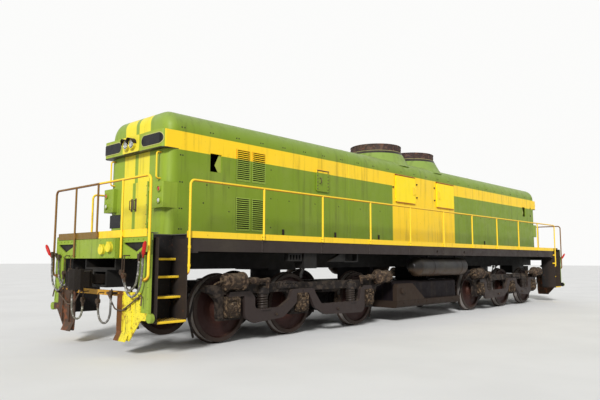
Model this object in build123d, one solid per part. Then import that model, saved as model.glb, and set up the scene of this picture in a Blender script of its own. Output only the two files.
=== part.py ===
from build123d import *
import math
import os

os.makedirs("parts", exist_ok=True)

# A cabless diesel-electric booster locomotive on two six-wheel bogies, at full size.
# Millimetres. +X points to the end that the photograph shows, +Y to the locomotive's
# left side, +Z up. The origin is midway along and across, at the flanges' lowest points.

# Wheels and axles: distances out from the middle of the axle, and radii
FLANGE = 28
TREAD_RADIUS = 508
AXLE_Z = FLANGE + TREAD_RADIUS
AXLE_RADIUS = 85
HUB_RADIUS = 140
WHEEL_BACK = 680
WHEEL_FACE = 820
HUB_FACE = 830
JOURNAL_RADIUS = 75
JOURNAL_END = 1115
RUNNING_GAP = 10

# Bogies: places along X are from the pivot, and the first axle is the outer one
PIVOT_X = 4104
AXLES = (1702, 178, -1702)
FRAME_Y = (940, 1060)
FRAME_ENDS = (-2200, 2166)
FRAME_TOP = 900
FRAME_BOTTOM = 760
PEDESTAL_HALF = 140
PEDESTAL_FOOT = 398
EQUALIZER_Y = (1070, 1130)
EQUALIZER_TOP = 795
BOX_HALF = 125
BOX_Z = (412, 724)
SPRINGS_X = (1051, -1195)
SPRING_Y = 1060
SPRING_RADIUS = 88
SPRING_SEAT = 515
SPRING_TOP = 740
SPRING_TURNS = 5
TRANSOMS = ((790, 1090), (-1000, -520))
BOWL_RADIUS = 300
BOWL_TOP = 960
PIVOT_PIN_RADIUS = 84

# Brakes
CYLINDERS_X = (1741, -2044)
CYLINDER_Y = 1192
CYLINDER_Z = 958
CYLINDER_RADIUS = 118
SHOE_Y = (720, 814)
SHOE_THICK = 55

# Underframe and platform
HALF_LENGTH = 7420
HALF_WIDTH = 1368
DECK_TOP = 1628
DECK_BOTTOM = 1616
SILL_BOTTOM = 1390
SILL_TOP = 1576
SILL_THICK = 60
STRIP_TOP = 1667
STRIP_THICK = 12
CENTRE_SILL_Y = (420, 450)
CENTRE_SILL_BOTTOM = 1130
BOLSTER_BOTTOM = 1100
BOLSTER_HALF = 350
HEADSTOCK_BOTTOM = 1290
END_PLATE = 40
RECESS_DEPTH = 28

# Couplers
COUPLER_Z = 1000
COUPLER_PIN_X = 6700
COUPLER_PIN_RADIUS = 40
POCKET_HALF = 210
POCKET_BOTTOM = 880

# Hood
HOOD_END = 6840
HOOD_HALF = 850
HOOD_TOP = 3498
HOOD_WALL = 40
ROOF_RADIUS = 300
CORNER_RADIUS = 175
HOOD_JOINTS = (-2750, 2650)
LAP = 30
DOOR_THICK = 24
DOOR_GAP = 6
HINGE_RADIUS = 11
HINGE_LENGTH = 60

# Openings in the hood's sides: x range, z range
LOUVRES = (
    ((5268, 5563), (2540, 3057)),
    ((4927, 5225), (2540, 3057)),
    ((5268, 5563), (1739, 2271)),
    ((4927, 5225), (1739, 2271)),
)
VENT_HOLE = ((5858, 6083), (2625, 2909))
COVER = ((3303, 3651), (2542, 2943))
FRONT_DOOR = ((270, 1050), (2538, 3128))
REAR_DOOR = ((-1520, -690), (2538, 3128))
END_DOOR_HALF = 385
END_DOOR_Z = (1728, 2440)

# Louvre slats
SLAT_PITCH = 33
SLAT_THICK = 5
SLAT_DROP = 22
LOUVRE_BORDER = 14

# Roof humps and their fans
FAN_X = (570, -900)
HUMP_FOOT = 815
HUMP_FOOT_Z = 3390
HUMP_HEAD = 607
HUMP_HEAD_Z = 3745
SHAFT_RADIUS = 505
FAN_Z = 3860
FAN_BARS_Z = (3762, 3782)
FAN_BLADES = 8
BLADE_REACH = (90, 480)
BLADE_SIZE = (190, 8)
BLADE_PITCH = 28
RIM_TOP = 3990

# Lamps, number housings and boxes on the hood's ends
HOUSING_Z = (2890, 3162)
HOUSING_NOSE = 6945
MARKER_Y = (560, 850)
MARKER_Z = (2020, 2395)
LAMP_RADIUS = 70
LAMP_Y = 85

# Handrails and steps
RAIL_TOP = 2388
RAIL_RADIUS = 17
END_POST_RADIUS = 15
RAIL_Y = 1398
POST_FIRST = 6830
POST_PITCH = 1375
POST_COUNT = 11
END_RAIL_X = 7450
END_POSTS = ((-700, 1300), (0, 1604), (700, 1300))
STEP_X = (6860, 7300)
STEP_PLATE = 12
STEP_BACK = 1010
STEP_FOOT = 480

# Steps: height of the tread, its outer edge
TREADS = ((1298, 1130), (1060, 1210), (793, 1260), (483, 1400))

# Tank and reservoirs
TANK_X = (-1090, 1560)
TANK_Z = (304, 840)
TANK_HALF = 1080
SKIRT_HALF = 1200
SKIRT_TOP = 450
RESERVOIR_X = (-1400, 905)
RESERVOIR_Y = 1120
RESERVOIR_Z = 1140
RESERVOIR_RADIUS = 205
STRAPS_X = (203, -1045)

# Jacking pads under the side sills
PAD_X = (6660, 6800)
PAD_Y = (1250, 1368)
PAD_Z = (1370, SILL_BOTTOM)

SIDES = (1, -1)
ENDS = (("front", 1), ("rear", -1))
HANDS = (("left", 1), ("right", -1))

# How a flat outline's two values and its level become a point, and the way it is extruded
PLANES = {
    "xy": (lambda a, b, level: (a, b, level), (0, 0, 1)),
    "xz": (lambda a, b, level: (a, level, b), (0, 1, 0)),
    "yz": (lambda a, b, level: (level, a, b), (1, 0, 0)),
}


def flat(plane, corners, level=0):
    """A flat face with corners (a, b) or (a, b, corner radius)."""
    place = PLANES[plane][0]
    face = make_face(Polyline(*[place(c[0], c[1], level) for c in corners], close=True))
    for corner in corners:
        if len(corner) == 3:
            spot = place(corner[0], corner[1], level)
            face = fillet(face.vertices().sort_by_distance(spot)[0], corner[2])
    return face


def plate(plane, corners, span):
    """The outline as a plate between two levels."""
    return extrude(flat(plane, corners, min(span)), amount=max(span) - min(span), dir=PLANES[plane][1])


def turned(axis, corners):
    """A round solid about an axis through the origin, from (along, radius, optional corner radius)."""
    if axis == "x":
        return revolve(flat("xz", corners), axis=Axis.X)
    if axis == "y":
        return revolve(flat("yz", corners), axis=Axis.Y)
    return revolve(flat("xz", [(c[1], c[0], *c[2:]) for c in corners]), axis=Axis.Z)


def block(x, y, z):
    """A box from its three ranges, each in either order."""
    ranges = [sorted(r) for r in (x, y, z)]
    size = [high - low for low, high in ranges]
    middle = [(low + high) / 2 for low, high in ranges]
    return Pos(*middle) * Box(*size)


def bar(start, end, radius):
    """A round bar between two points."""
    line = Vector(*end) - Vector(*start)
    return extrude(Plane(origin=start, z_dir=line) * Circle(radius), amount=line.length)


def widest_arc(before, corner, after):
    """The radius of the largest arc that leaves a tenth of the shorter run straight."""
    run_in = corner - before
    run_out = after - corner
    half_turn = math.radians(run_in.get_angle(run_out)) / 2
    return 0.45 * min(run_in.length, run_out.length) / math.tan(half_turn)


def pipe(points, radius, bend=None):
    """A round tube of straight runs joined by tangent arcs, of a given radius or the widest."""
    corners = [Vector(*p) for p in points]
    start = corners[0]
    pieces = []
    for before, corner, after in zip(corners, corners[1:], corners[2:]):
        arc = bend or widest_arc(before, corner, after)
        way_in = (corner - before).normalized()
        way_out = (after - corner).normalized()
        turn = way_in.get_angle(way_out)
        reach = arc * math.tan(math.radians(turn) / 2)
        bend_start = corner - way_in * reach
        hub = bend_start + (way_out - way_in * way_in.dot(way_out)).normalized() * arc
        pieces.append(bar(tuple(start), tuple(bend_start), radius))
        pieces.append(revolve(
            Plane(origin=bend_start, z_dir=way_in) * Circle(radius),
            axis=Axis(tuple(hub), tuple(way_in.cross(way_out))),
            revolution_arc=turn,
        ))
        start = corner + way_out * reach
    pieces.append(bar(tuple(start), tuple(corners[-1]), radius))
    return joined(pieces)


def joined(pieces):
    """Several touching solids as one."""
    whole = pieces[0]
    for piece in pieces[1:]:
        whole += piece
    return whole


def across(x):
    """The range from -x to x."""
    return (-x, x)


def mirrored(solid):
    """The same piece on the other side."""
    return solid.mirror(Plane.XZ)


def both_sides(pieces):
    """Pieces of the left side with their copies on the right."""
    return pieces + [mirrored(piece) for piece in pieces]


def at_end(solid, end):
    """A piece drawn for the front, or turned half round for the rear."""
    return solid if end > 0 else Rot(0, 0, 180) * solid


def both_ends(pieces):
    """Pieces of the front with their copies at the rear."""
    return [at_end(piece, end) for name, end in ENDS for piece in pieces]


def save(node, pieces):
    """Write one sub-part from its separate solids."""
    solids = [solid for piece in pieces for solid in piece.solids()]
    export_step(solids[0] if len(solids) == 1 else Compound(children=solids), f"parts/{node}.step")


def wheelset(x):
    """An axle with its two dished wheels, turned as one profile."""
    half = [
        (630, AXLE_RADIUS, 20),
        (665, HUB_RADIUS, 15),
        (712, 165, 25),
        (728, 300),
        (704, 425, 25),
        (WHEEL_BACK, 445, 10),
        (WHEEL_BACK, AXLE_Z, 8),
        (WHEEL_BACK + 22, AXLE_Z, 10),
        (WHEEL_BACK + 36, TREAD_RADIUS + 3, 12),
        (WHEEL_FACE, TREAD_RADIUS - 4, 5),
        (WHEEL_FACE, 442, 10),
        (772, 428, 20),
        (784, 300),
        (770, 172, 25),
        (HUB_FACE, HUB_RADIUS, 10),
        (HUB_FACE, JOURNAL_RADIUS),
        (JOURNAL_END, JOURNAL_RADIUS),
        (JOURNAL_END, 0),
    ]
    other = [(-corner[0], *corner[1:]) for corner in reversed(half)]
    return Pos(x, 0, AXLE_Z) * turned("y", half + other)


def pedestal(x):
    """Two legs that flare into the frame and hold a journal box, with the tie below it."""
    half = PEDESTAL_HALF
    legs = []
    for way in SIDES:
        leg = [
            (x + way * half, FRAME_BOTTOM + 40),
            (x + way * half, PEDESTAL_FOOT),
            (x + way * (half + 75), PEDESTAL_FOOT, 25),
            (x + way * (half + 85), 660, 120),
            (x + way * (half + 200), FRAME_BOTTOM),
            (x + way * (half + 200), FRAME_BOTTOM + 40),
        ]
        legs.append(plate("xz", leg, FRAME_Y))
    foot = (PEDESTAL_FOOT - 26, PEDESTAL_FOOT)
    legs.append(block((x - half - 85, x + half + 85), (FRAME_Y[0] + 20, FRAME_Y[1] - 20), foot))
    return joined(legs)


# The brake lever's guide on the side frame: x from the pivot, z, corner radius
LEVER_GUIDE = ((270, 815, 20), (270, 915, 40), (520, 938, 40), (760, 920, 40), (760, 815, 20))


def side_frame():
    """One cast side of the bogie: a beam, three pedestals, two spring pockets, a lever guide."""
    low, high = FRAME_ENDS
    beam = plate(
        "xz",
        [(low, FRAME_BOTTOM + 30, 40), (low, FRAME_TOP, 50), (high, FRAME_TOP, 50),
         (high, FRAME_BOTTOM + 50, 30), (AXLES[0] + 330, FRAME_BOTTOM, 60),
         (AXLES[2] - 330, FRAME_BOTTOM, 60)],
        FRAME_Y,
    )
    side = joined([beam] + [pedestal(x) for x in AXLES])
    for x in SPRINGS_X:
        pocket = [(0, 0), (0, 108, 10), (120, 100, 30), (135, 46, 10), (175, 46, 12), (175, 0)]
        side += Pos(x, SPRING_Y, SPRING_TOP) * turned("z", pocket)
    guide = plate("xz", LEVER_GUIDE, (1050, 1102))
    for hole in range(7):
        guide -= Pos(330 + hole * 62, 1080, 880) * Rot(90, 0, 0) * Cylinder(14, 60)
    return side + guide


def bogie_frame():
    """Two side frames, two transoms, and the bolster with its centre bowl."""
    frame = joined(both_sides([side_frame()]))
    for low, high in TRANSOMS:
        section = [(low, 700, 50), (low, FRAME_TOP), (high, FRAME_TOP), (high, 700, 50)]
        frame += plate("xz", section, across(FRAME_Y[0]))
    frame += block((TRANSOMS[1][1], TRANSOMS[0][0]), across(330), (820, FRAME_TOP))
    bore = PIVOT_PIN_RADIUS + 6
    foot = FRAME_TOP - 40
    bowl = [(foot, bore), (BOWL_TOP, bore), (BOWL_TOP, BOWL_RADIUS, 10), (FRAME_TOP, BOWL_RADIUS + 40),
            (foot, BOWL_RADIUS + 40)]
    frame -= Pos(0, 0, foot) * Cylinder(bore, 100)
    return frame + turned("z", bowl)


# The equalizers' outlines: a drop beam hangs from the outer and middle boxes, another
# from the middle and inner ones. x from the pivot, z, corner radius
OUTER_EQUALIZER = (
    (1792, BOX_Z[1], 10), (1792, EQUALIZER_TOP, 30), (1360, EQUALIZER_TOP, 80), (1270, 700, 60),
    (1270, SPRING_SEAT, 70), (740, SPRING_SEAT, 120), (500, 640, 90), (440, EQUALIZER_TOP, 60),
    (186, EQUALIZER_TOP, 20), (186, BOX_Z[1], 10), (325, BOX_Z[1]), (325, 575, 70), (640, 352, 160),
    (1290, 300, 150), (1480, 400, 120), (1490, BOX_Z[1]),
)
INNER_EQUALIZER = (
    (170, BOX_Z[1], 10), (170, EQUALIZER_TOP, 20), (-100, EQUALIZER_TOP, 70), (-150, 700, 80),
    (-300, SPRING_SEAT, 110), (-1390, SPRING_SEAT, 60), (-1430, EQUALIZER_TOP - 60, 60),
    (-1500, EQUALIZER_TOP, 40), (-1792, EQUALIZER_TOP, 30), (-1792, BOX_Z[1], 10), (-1555, BOX_Z[1]),
    (-1555, 420, 110), (-1500, 296, 100), (-400, 322, 160), (-115, 470, 120), (35, BOX_Z[1]),
)
# Each equalizer's outline, its spring, its pin along X and up
EQUALIZERS = ((OUTER_EQUALIZER, SPRINGS_X[0], 815, 410), (INNER_EQUALIZER, SPRINGS_X[1], -745, 400))


def bogie_equalizers():
    """Both sides' drop beams, each widened to a seat under its spring, with a pin through it."""
    beams = []
    for outline, spring_x, pin_x, pin_z in EQUALIZERS:
        beam = plate("xz", outline, EQUALIZER_Y)
        low, high = spring_x - 108, spring_x + 108
        seat = [(low, 968, 30), (high, 968, 30), (high, 1152, 30), (low, 1152, 30)]
        beam += plate("xy", seat, (SPRING_SEAT - 26, SPRING_SEAT))
        beam += Pos(pin_x, 1100, pin_z) * Rot(90, 0, 0) * Cylinder(24, 100)
        beams.append(beam)
    return both_sides(beams)


def coil_spring(x):
    """A coil spring as a stack of round turns on the core between them."""
    pitch = (SPRING_TOP - SPRING_SEAT) / SPRING_TURNS
    wire = pitch * 0.42
    upward = (Align.CENTER, Align.CENTER, Align.MIN)
    spring = Cylinder(SPRING_RADIUS - 1.6 * wire, SPRING_TOP - SPRING_SEAT, align=upward)
    for turn in range(SPRING_TURNS):
        spring += Pos(0, 0, (turn + 0.5) * pitch) * Torus(SPRING_RADIUS - wire, wire)
    return Pos(x, SPRING_Y, SPRING_SEAT) * spring


def bogie_springs():
    """One coil spring over each equalizer."""
    return both_sides([coil_spring(x) for x in SPRINGS_X])


def journal_box(x):
    """A cast box with side ribs and a round cap, bored from the back for the axle."""
    low, high = BOX_Z
    left, right = x - BOX_HALF, x + BOX_HALF
    body = plate("xz", [(left, low, 45), (left, high), (right, high), (right, low, 45)], (930, 1130))
    cap = [(0, 0), (0, 112), (38, 104, 12), (44, 60, 8), (58, 50, 8), (58, 0)]
    body += Pos(x, 1130, AXLE_Z) * turned("y", cap)
    for way in SIDES:
        body += block((x + way * 98, x + way * 118), (1130, 1152), (450, 690))
    bore = Pos(x, 1020, AXLE_Z) * Rot(90, 0, 0) * Cylinder(JOURNAL_RADIUS + 1, 200)
    return body - bore


def bogie_boxes():
    """Six journal boxes."""
    return both_sides([journal_box(x) for x in AXLES])


# Traction motors: the axle, the side of it that the motor hangs on
MOTORS = ((AXLES[0], -1), (AXLES[1], -1), (AXLES[2], 1))
# A motor's section: distance from the axle, z, corner radius
MOTOR_SECTION = (
    (97, 330), (97, 660), (200, 690, 60), (560, 690, 120), (620, 560, 80), (620, 400, 80), (520, 290, 100),
    (240, 290, 80),
)
# Its gear case, bored for the axle
CASE_SECTION = (
    (-240, 360, 150), (-240, 700, 150), (160, 790, 160), (560, 640, 110), (560, 430, 110), (120, 215, 160),
)
CASE_Y = (575, 635)


def bogie_motors():
    """A motor beside each axle with its gear case round the axle."""
    pieces = []
    for axle, side in MOTORS:
        motor = plate("xz", [(axle + side * c[0], *c[1:]) for c in MOTOR_SECTION], across(560))
        case = plate("xz", [(axle + side * c[0], *c[1:]) for c in CASE_SECTION], CASE_Y)
        case -= Pos(axle, sum(CASE_Y) / 2, AXLE_Z) * Rot(90, 0, 0) * Cylinder(AXLE_RADIUS + RUNNING_GAP, 100)
        shaft = block((axle + side * 300, axle + side * 420), (560, CASE_Y[0]), (480, 600))
        pieces.append(motor + shaft + case)
    return pieces


# Brake shoes: the axle, the side of the wheel that the shoe bears on
SHOES = ((AXLES[0], -1), (AXLES[1], 1), (AXLES[2], 1))


def brake_shoe(axle, side):
    """A curved shoe beside the tread, with its head and its hanger from the transom."""
    inner = TREAD_RADIUS + RUNNING_GAP
    middle = sum(SHOE_Y) / 2
    ring = Cylinder(inner + SHOE_THICK, SHOE_Y[1] - SHOE_Y[0]) - Cylinder(inner, 130)
    shoe = Pos(axle, middle, AXLE_Z) * Rot(90, 0, 0) * ring
    shoe &= block((axle + side * 400, axle + side * 600), SHOE_Y, (370, 620))
    x = axle + side * (inner + SHOE_THICK)
    inside, outside = x - side * 25, x + side * 35
    head = plate("xz", [(inside, 420, 10), (inside, 580, 10), (outside, 540, 20), (outside, 460, 20)],
                 (middle - 30, middle + 30))
    hanger = block((x - side * 20, x + side * 10), (middle - 15, middle + 15), (560, 712))
    arm = block((x - side * 20, x + side * 39), (middle - 15, middle + 15), (712, 742))
    return shoe + head + hanger + arm


def brake_cylinder(x, toward):
    """A drum with its domed back, bolted flange, slack adjuster and push rod, on a bracket."""
    flange = CYLINDER_RADIUS + 20
    drum = [
        (-208, 0), (-205, 60, 20), (-165, CYLINDER_RADIUS, 30), (120, CYLINDER_RADIUS), (124, flange, 4),
        (158, flange, 4), (200, 56, 20), (215, 34), (300, 34), (304, 52, 6), (455, 52, 6), (460, 30),
        (640, 30), (645, 42, 6), (700, 42, 6), (700, 0),
    ]
    body = turned("x", drum)
    if toward < 0:
        body = Rot(0, 0, 180) * body
    cylinder = Pos(x, CYLINDER_Y, CYLINDER_Z) * body
    foot = FRAME_Y[1]
    bracket = [(foot, 800), (foot, FRAME_TOP - 10), (CYLINDER_Y, FRAME_TOP - 10), (CYLINDER_Y + 60, 870, 15),
               (foot + 40, 800)]
    for place in (x - 95, x + 75):
        cylinder += plate("yz", bracket, (place, place + 26))
    near, far = x + toward * 652, x + toward * 696
    lever = [(near, 830, 14), (near, 980, 20), (far, 980, 20), (far, 830, 14)]
    return cylinder + plate("xz", lever, (CYLINDER_Y - 12, CYLINDER_Y + 12))


def bogie_brakes():
    """Brake cylinders on the side frames and the shoes at the wheels."""
    pieces = [brake_cylinder(x, toward) for x, toward in zip(CYLINDERS_X, (-1, 1))]
    pieces += [brake_shoe(axle, side) for axle, side in SHOES]
    return both_sides(pieces)


# Cross-bearers between the side sills
BEARERS_X = (6800, 5600, 4900, 3300, 2600, 1400, 100, -1200, -2600, -3300, -4900, -5600, -6800)


def underframe():
    """Side sills with post brackets and strap holes, cross-bearers and bolster tops."""
    sills = []
    for side in SIDES:
        inner, outer = side * (HALF_WIDTH - SILL_THICK), side * HALF_WIDTH
        sill = block(across(HOOD_END), (inner, outer), (SILL_BOTTOM, DECK_BOTTOM))
        for x in STRAPS_X:
            sill -= Pos(x, outer, 1462) * Rot(90, 0, 0) * Cylinder(38, 3 * SILL_THICK)
        for x in post_places()[1:-1]:
            sill += block((x - 9, x + 9), (outer, outer + side * 8), (SILL_BOTTOM + 6, SILL_TOP))
        sills.append(sill)
        for end in SIDES:
            pad = [end * x for x in PAD_X]
            sills.append(block(pad, [side * y for y in PAD_Y], PAD_Z))
    beams = [(x, 40) for x in BEARERS_X] + [(end * PIVOT_X, BOLSTER_HALF) for end in SIDES]
    inside = across(HALF_WIDTH - SILL_THICK)
    for x, half in beams:
        sills.append(block((x - half, x + half), inside, (SILL_BOTTOM, DECK_BOTTOM)))
    return joined(sills)


def draft_pocket():
    """The box between the centre sills that holds the coupler's shank and pin."""
    inner = 6500
    outer = HALF_LENGTH - END_PLATE
    wall = 40
    top = (CENTRE_SILL_BOTTOM - 30, CENTRE_SILL_BOTTOM)
    cheek = block((inner, outer), (POCKET_HALF - wall, POCKET_HALF), (POCKET_BOTTOM, top[1]))
    return joined([
        cheek,
        mirrored(cheek),
        block((inner, outer), across(POCKET_HALF), top),
        block((inner, outer), across(CENTRE_SILL_Y[1]), (top[1], top[1] + 30)),
        block((inner, inner + 60), across(POCKET_HALF), (POCKET_BOTTOM, top[1])),
        block((inner, 6860), across(POCKET_HALF), (POCKET_BOTTOM, POCKET_BOTTOM + 30)),
        block((7260, outer), across(POCKET_HALF), (POCKET_BOTTOM, POCKET_BOTTOM + 35)),
        Pos(COUPLER_PIN_X, 0, COUPLER_Z) * Cylinder(COUPLER_PIN_RADIUS, 200),
    ])


def centre_sill():
    """The two deep webs down the middle, the bolsters' centre plates and the draft pockets."""
    webs = [block(across(HALF_LENGTH - END_PLATE), (side * CENTRE_SILL_Y[0], side * CENTRE_SILL_Y[1]),
                  (CENTRE_SILL_BOTTOM, SILL_BOTTOM)) for side in SIDES]
    pieces = webs + both_ends([draft_pocket()])
    for end in SIDES:
        x = end * PIVOT_X
        bolster = (x - BOLSTER_HALF, x + BOLSTER_HALF)
        pieces.append(block(bolster, across(CENTRE_SILL_Y[1]), (BOLSTER_BOTTOM, SILL_BOTTOM)))
        head, foot = BOLSTER_BOTTOM + 20, BOWL_TOP - 45
        plate_and_pin = [(head, 0), (head, 280), (BOWL_TOP, 280, 10), (BOWL_TOP, PIVOT_PIN_RADIUS),
                         (foot, PIVOT_PIN_RADIUS, 8), (foot, 0)]
        pieces.append(Pos(x, 0, 0) * turned("z", plate_and_pin))
    return joined(pieces)


def deck():
    """The walkway plate, notched for the steps at its four corners."""
    whole = block(across(HALF_LENGTH), across(HALF_WIDTH), (DECK_BOTTOM, DECK_TOP))
    for end in SIDES:
        for side in SIDES:
            whole -= block((end * STEP_X[0], end * STEP_X[1]), (side * STEP_BACK, side * 1500), (1500, 1700))
    return whole


def toe_strips():
    """The edge strips along the walkway and across the ends."""
    side = block(across(HOOD_END + 10), (HALF_WIDTH, HALF_WIDTH + STRIP_THICK), (SILL_TOP, STRIP_TOP))
    end = block((HALF_LENGTH, HALF_LENGTH + STRIP_THICK), across(1300), (SILL_TOP, STRIP_TOP + 10))
    return both_sides([side]) + both_ends([end])


def headstock():
    """The end plate with its two pointed recesses, the uprights, the pilot beam and round caps."""
    back = HALF_LENGTH - END_PLATE
    whole = block((back, HALF_LENGTH), across(1380), (HEADSTOCK_BOTTOM, DECK_BOTTOM))
    triangle = [(670, 1505, 10), (1330, 1505, 10), (1050, 1375, 15)]
    recess = plate("yz", triangle, (HALF_LENGTH - RECESS_DEPTH, HALF_LENGTH + 5))
    whole -= recess + mirrored(recess)
    upright = block((back, HALF_LENGTH), (1120, 1380), (560, HEADSTOCK_BOTTOM))
    cap = Pos(back, 1412, 536) * turned("x", [(0, 0), (0, 60), (58, 60, 8), (58, 0)])
    beam = block((back, HALF_LENGTH), across(1120), (780, 850))
    return joined([whole, beam] + both_sides([upright + cap]))


# A pilot plate seen from the front: y, z, corner radius
PILOT = (
    (620, 850), (1200, 850), (1200, 596), (1350, 596, 20), (1350, 500, 30), (1225, 500, 80), (1130, 400),
    (955, 212, 30), (640, 212, 30), (620, 380),
)


def pilots():
    """The guard plates beside the coupler, each with a lip that leans forward at the foot."""
    face = HALF_LENGTH
    thick = 14
    whole = plate("yz", PILOT, (face, face + thick))
    whole += plate("xz", [(face, 330), (face + thick, 330), (face + 72, 206), (face + 58, 206)], (650, 945))
    for y in (780, 1010):
        whole += block((face + thick, face + 2 * thick), (y, y + 14), (330, 800))
    return both_ends(both_sides([whole]))


def step_well():
    """Four treads between two stringer plates, with a back plate."""
    low, high = STEP_X[0] - STEP_PLATE, STEP_X[1]
    plates = [block((x, x + STEP_PLATE), (STEP_BACK, 1395), (STEP_FOOT, 1560)) for x in (low, high)]
    back = block((low, high + STEP_PLATE), (STEP_BACK - STEP_PLATE, STEP_BACK + 2), (STEP_FOOT, DECK_BOTTOM))
    treads = []
    for height, outer in TREADS:
        section = [(STEP_BACK, height - 30), (outer, height - 30, 5), (outer, height, 8), (STEP_BACK, height)]
        treads.append(plate("yz", section, STEP_X))
    return joined([back] + plates + treads)


def post_places():
    """Where the side handrail's posts stand along X, from the front."""
    return [POST_FIRST - i * POST_PITCH for i in range(POST_COUNT)]


def side_rail():
    """The walkway handrail: one tube with posts, turned down and in beside the steps."""
    places = post_places()
    z = RAIL_TOP - RAIL_RADIUS
    foot = RAIL_Y - 90
    foot_z = 1080
    ends = (places[0], places[-1])
    route = [(ends[0], foot, foot_z), (ends[0], RAIL_Y, foot_z), (ends[0], RAIL_Y, z), (ends[1], RAIL_Y, z),
             (ends[1], RAIL_Y, foot_z), (ends[1], foot, foot_z)]
    pieces = [pipe(route, RAIL_RADIUS, 70)]
    for x in places[1:-1]:
        pieces.append(bar((x, RAIL_Y, SILL_TOP + 4), (x, RAIL_Y, z), RAIL_RADIUS))
        bracket = (HALF_WIDTH + STRIP_THICK, RAIL_Y)
        pieces.append(block((x - 32, x + 32), bracket, (SILL_TOP + 12, STRIP_TOP - 12)))
    for x, stringer in zip(ends, (STEP_X[0] - STEP_PLATE, -STEP_X[0])):
        pieces.append(block((x, stringer), (foot - 12, foot + 24), (foot_z - 24, foot_z + 24)))
    return joined(pieces)


def end_rail():
    """The rail across the platform's end, its corners turned down and in, with three posts."""
    z = RAIL_TOP - RAIL_RADIUS
    foot = RAIL_Y - 125
    foot_z = 1020
    x = END_RAIL_X
    pad = x + 6
    half_route = [(x, foot, foot_z), (x, RAIL_Y, foot_z), (x, RAIL_Y, z)]
    route = half_route + [(x, -y, z) for x, y, z in reversed(half_route)]
    pieces = [pipe(route, RAIL_RADIUS, 75)]
    for side in SIDES:
        wide = (side * (foot - 12), side * (foot + 24))
        pieces.append(block((HALF_LENGTH, pad), wide, (foot_z - 24, foot_z + 24)))
    for y, low in END_POSTS:
        pieces.append(bar((x, y, low), (x, y, z), END_POST_RADIUS))
        bracket = (HALF_LENGTH + STRIP_THICK, pad)
        pieces.append(block(bracket, (y - 28, y + 28), (SILL_TOP + 14, STRIP_TOP - 12)))
    return joined(pieces)


def hood_outline(inset, x_low, x_high):
    """The hood's outer form with its rounded shoulders, or the same form moved in by the wall."""
    half = HOOD_HALF - inset
    radius = ROOF_RADIUS - inset
    top = HOOD_TOP - inset
    outline = [(-half, DECK_TOP), (-half, top, radius), (half, top, radius), (half, DECK_TOP)]
    return plate("yz", outline, (x_low, x_high))


def hood_end(inset, back):
    """The hood up to its end, where one rounding runs up the corners and over the roof."""
    solid = hood_outline(inset, back, HOOD_END - inset)
    end = solid.faces().sort_by(Axis.X)[-1]
    rim = [edge for edge in end.edges() if edge.center().Z > DECK_TOP + 1]
    return fillet(rim, CORNER_RADIUS - inset)


def shrunk(opening):
    """An opening's x and z ranges, moved in by the lap of the door that covers it."""
    return [(low + LAP, high - LAP) for low, high in opening]


def end_hood(back):
    """An end of the hood as a shell, with its end doorway and the vent holes."""
    shell = hood_end(0, back) - hood_end(HOOD_WALL, back)
    y, z = shrunk((across(END_DOOR_HALF), END_DOOR_Z))
    shell -= block((HOOD_END - 2 * HOOD_WALL, HOOD_END + HOOD_WALL), y, z)
    return shell - block(VENT_HOLE[0], across(HOOD_HALF + 50), VENT_HOLE[1])


def hood_front():
    """The front part of the hood, with its louvre and cover openings."""
    shell = end_hood(HOOD_JOINTS[1])
    for x, z in LOUVRES + (shrunk(COVER),):
        shell -= block(x, across(HOOD_HALF + 50), z)
    return shell


def hood_centre():
    """The centre part of the hood, with the upper doorways and the two fan shafts."""
    shell = hood_outline(0, *HOOD_JOINTS) - hood_outline(HOOD_WALL, *HOOD_JOINTS)
    for x, z in (shrunk(FRONT_DOOR), shrunk(REAR_DOOR)):
        shell -= block(x, across(HOOD_HALF + 50), z)
    for x in FAN_X:
        shell -= Pos(x, 0, HOOD_TOP) * Cylinder(SHAFT_RADIUS, 4 * HOOD_WALL)
    return shell


def hood_rear():
    """The rear part of the hood."""
    return at_end(end_hood(-HOOD_JOINTS[0]), -1)


def louvre_panel(x, z):
    """A frame with sloping slats that fills one opening in the hood's side."""
    outer = HOOD_HALF + 8
    inner = HOOD_HALF - 32
    hole_x = (x[0] + LOUVRE_BORDER, x[1] - LOUVRE_BORDER)
    hole_z = (z[0] + LOUVRE_BORDER, z[1] - LOUVRE_BORDER)
    panel = block(x, (inner, outer), z) - block(hole_x, (inner - 10, outer + 10), hole_z)
    count = round((hole_z[1] - hole_z[0]) / SLAT_PITCH)
    pitch = (hole_z[1] - hole_z[0]) / count
    for i in range(count):
        base = hole_z[0] + 4 + i * pitch
        back = base + SLAT_DROP
        slat = [(outer, base), (outer, base + SLAT_THICK), (inner, back + SLAT_THICK), (inner, back)]
        panel += plate("yz", slat, hole_x)
    return panel


def vent_flap():
    """The torn flap that still covers the rear part of a vent hole."""
    (low, high), (bottom, top) = VENT_HOLE
    torn = [(low, bottom), (low, top), (low + 40, top), (low + 125, bottom + 110), (low + 55, bottom)]
    return plate("xz", torn, (HOOD_HALF - 26, HOOD_HALF - 22))


def louvres():
    """The louvred panels of both sides, and the flaps in the vent holes."""
    return both_sides([louvre_panel(x, z) for x, z in LOUVRES] + [vent_flap()]) + \
        [at_end(mirrored(vent_flap()), -1), at_end(vent_flap(), -1)]


def roof_hatch():
    """Two humps that flare out of the roof and carry the fans."""
    humps = []
    profile = [(HUMP_FOOT_Z, 0), (HUMP_FOOT_Z, HUMP_FOOT), (HOOD_TOP + 20, 725, 90),
               (HUMP_HEAD_Z, HUMP_HEAD, 20), (HUMP_HEAD_Z, 0)]
    for x in FAN_X:
        humps.append(Pos(x, 0, 0) * turned("z", profile))
    hatch = joined(humps) - hood_outline(0, *HOOD_JOINTS)
    for x in FAN_X:
        hatch -= Pos(x, 0, HOOD_TOP) * Cylinder(SHAFT_RADIUS, 1000)
    return hatch


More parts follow.
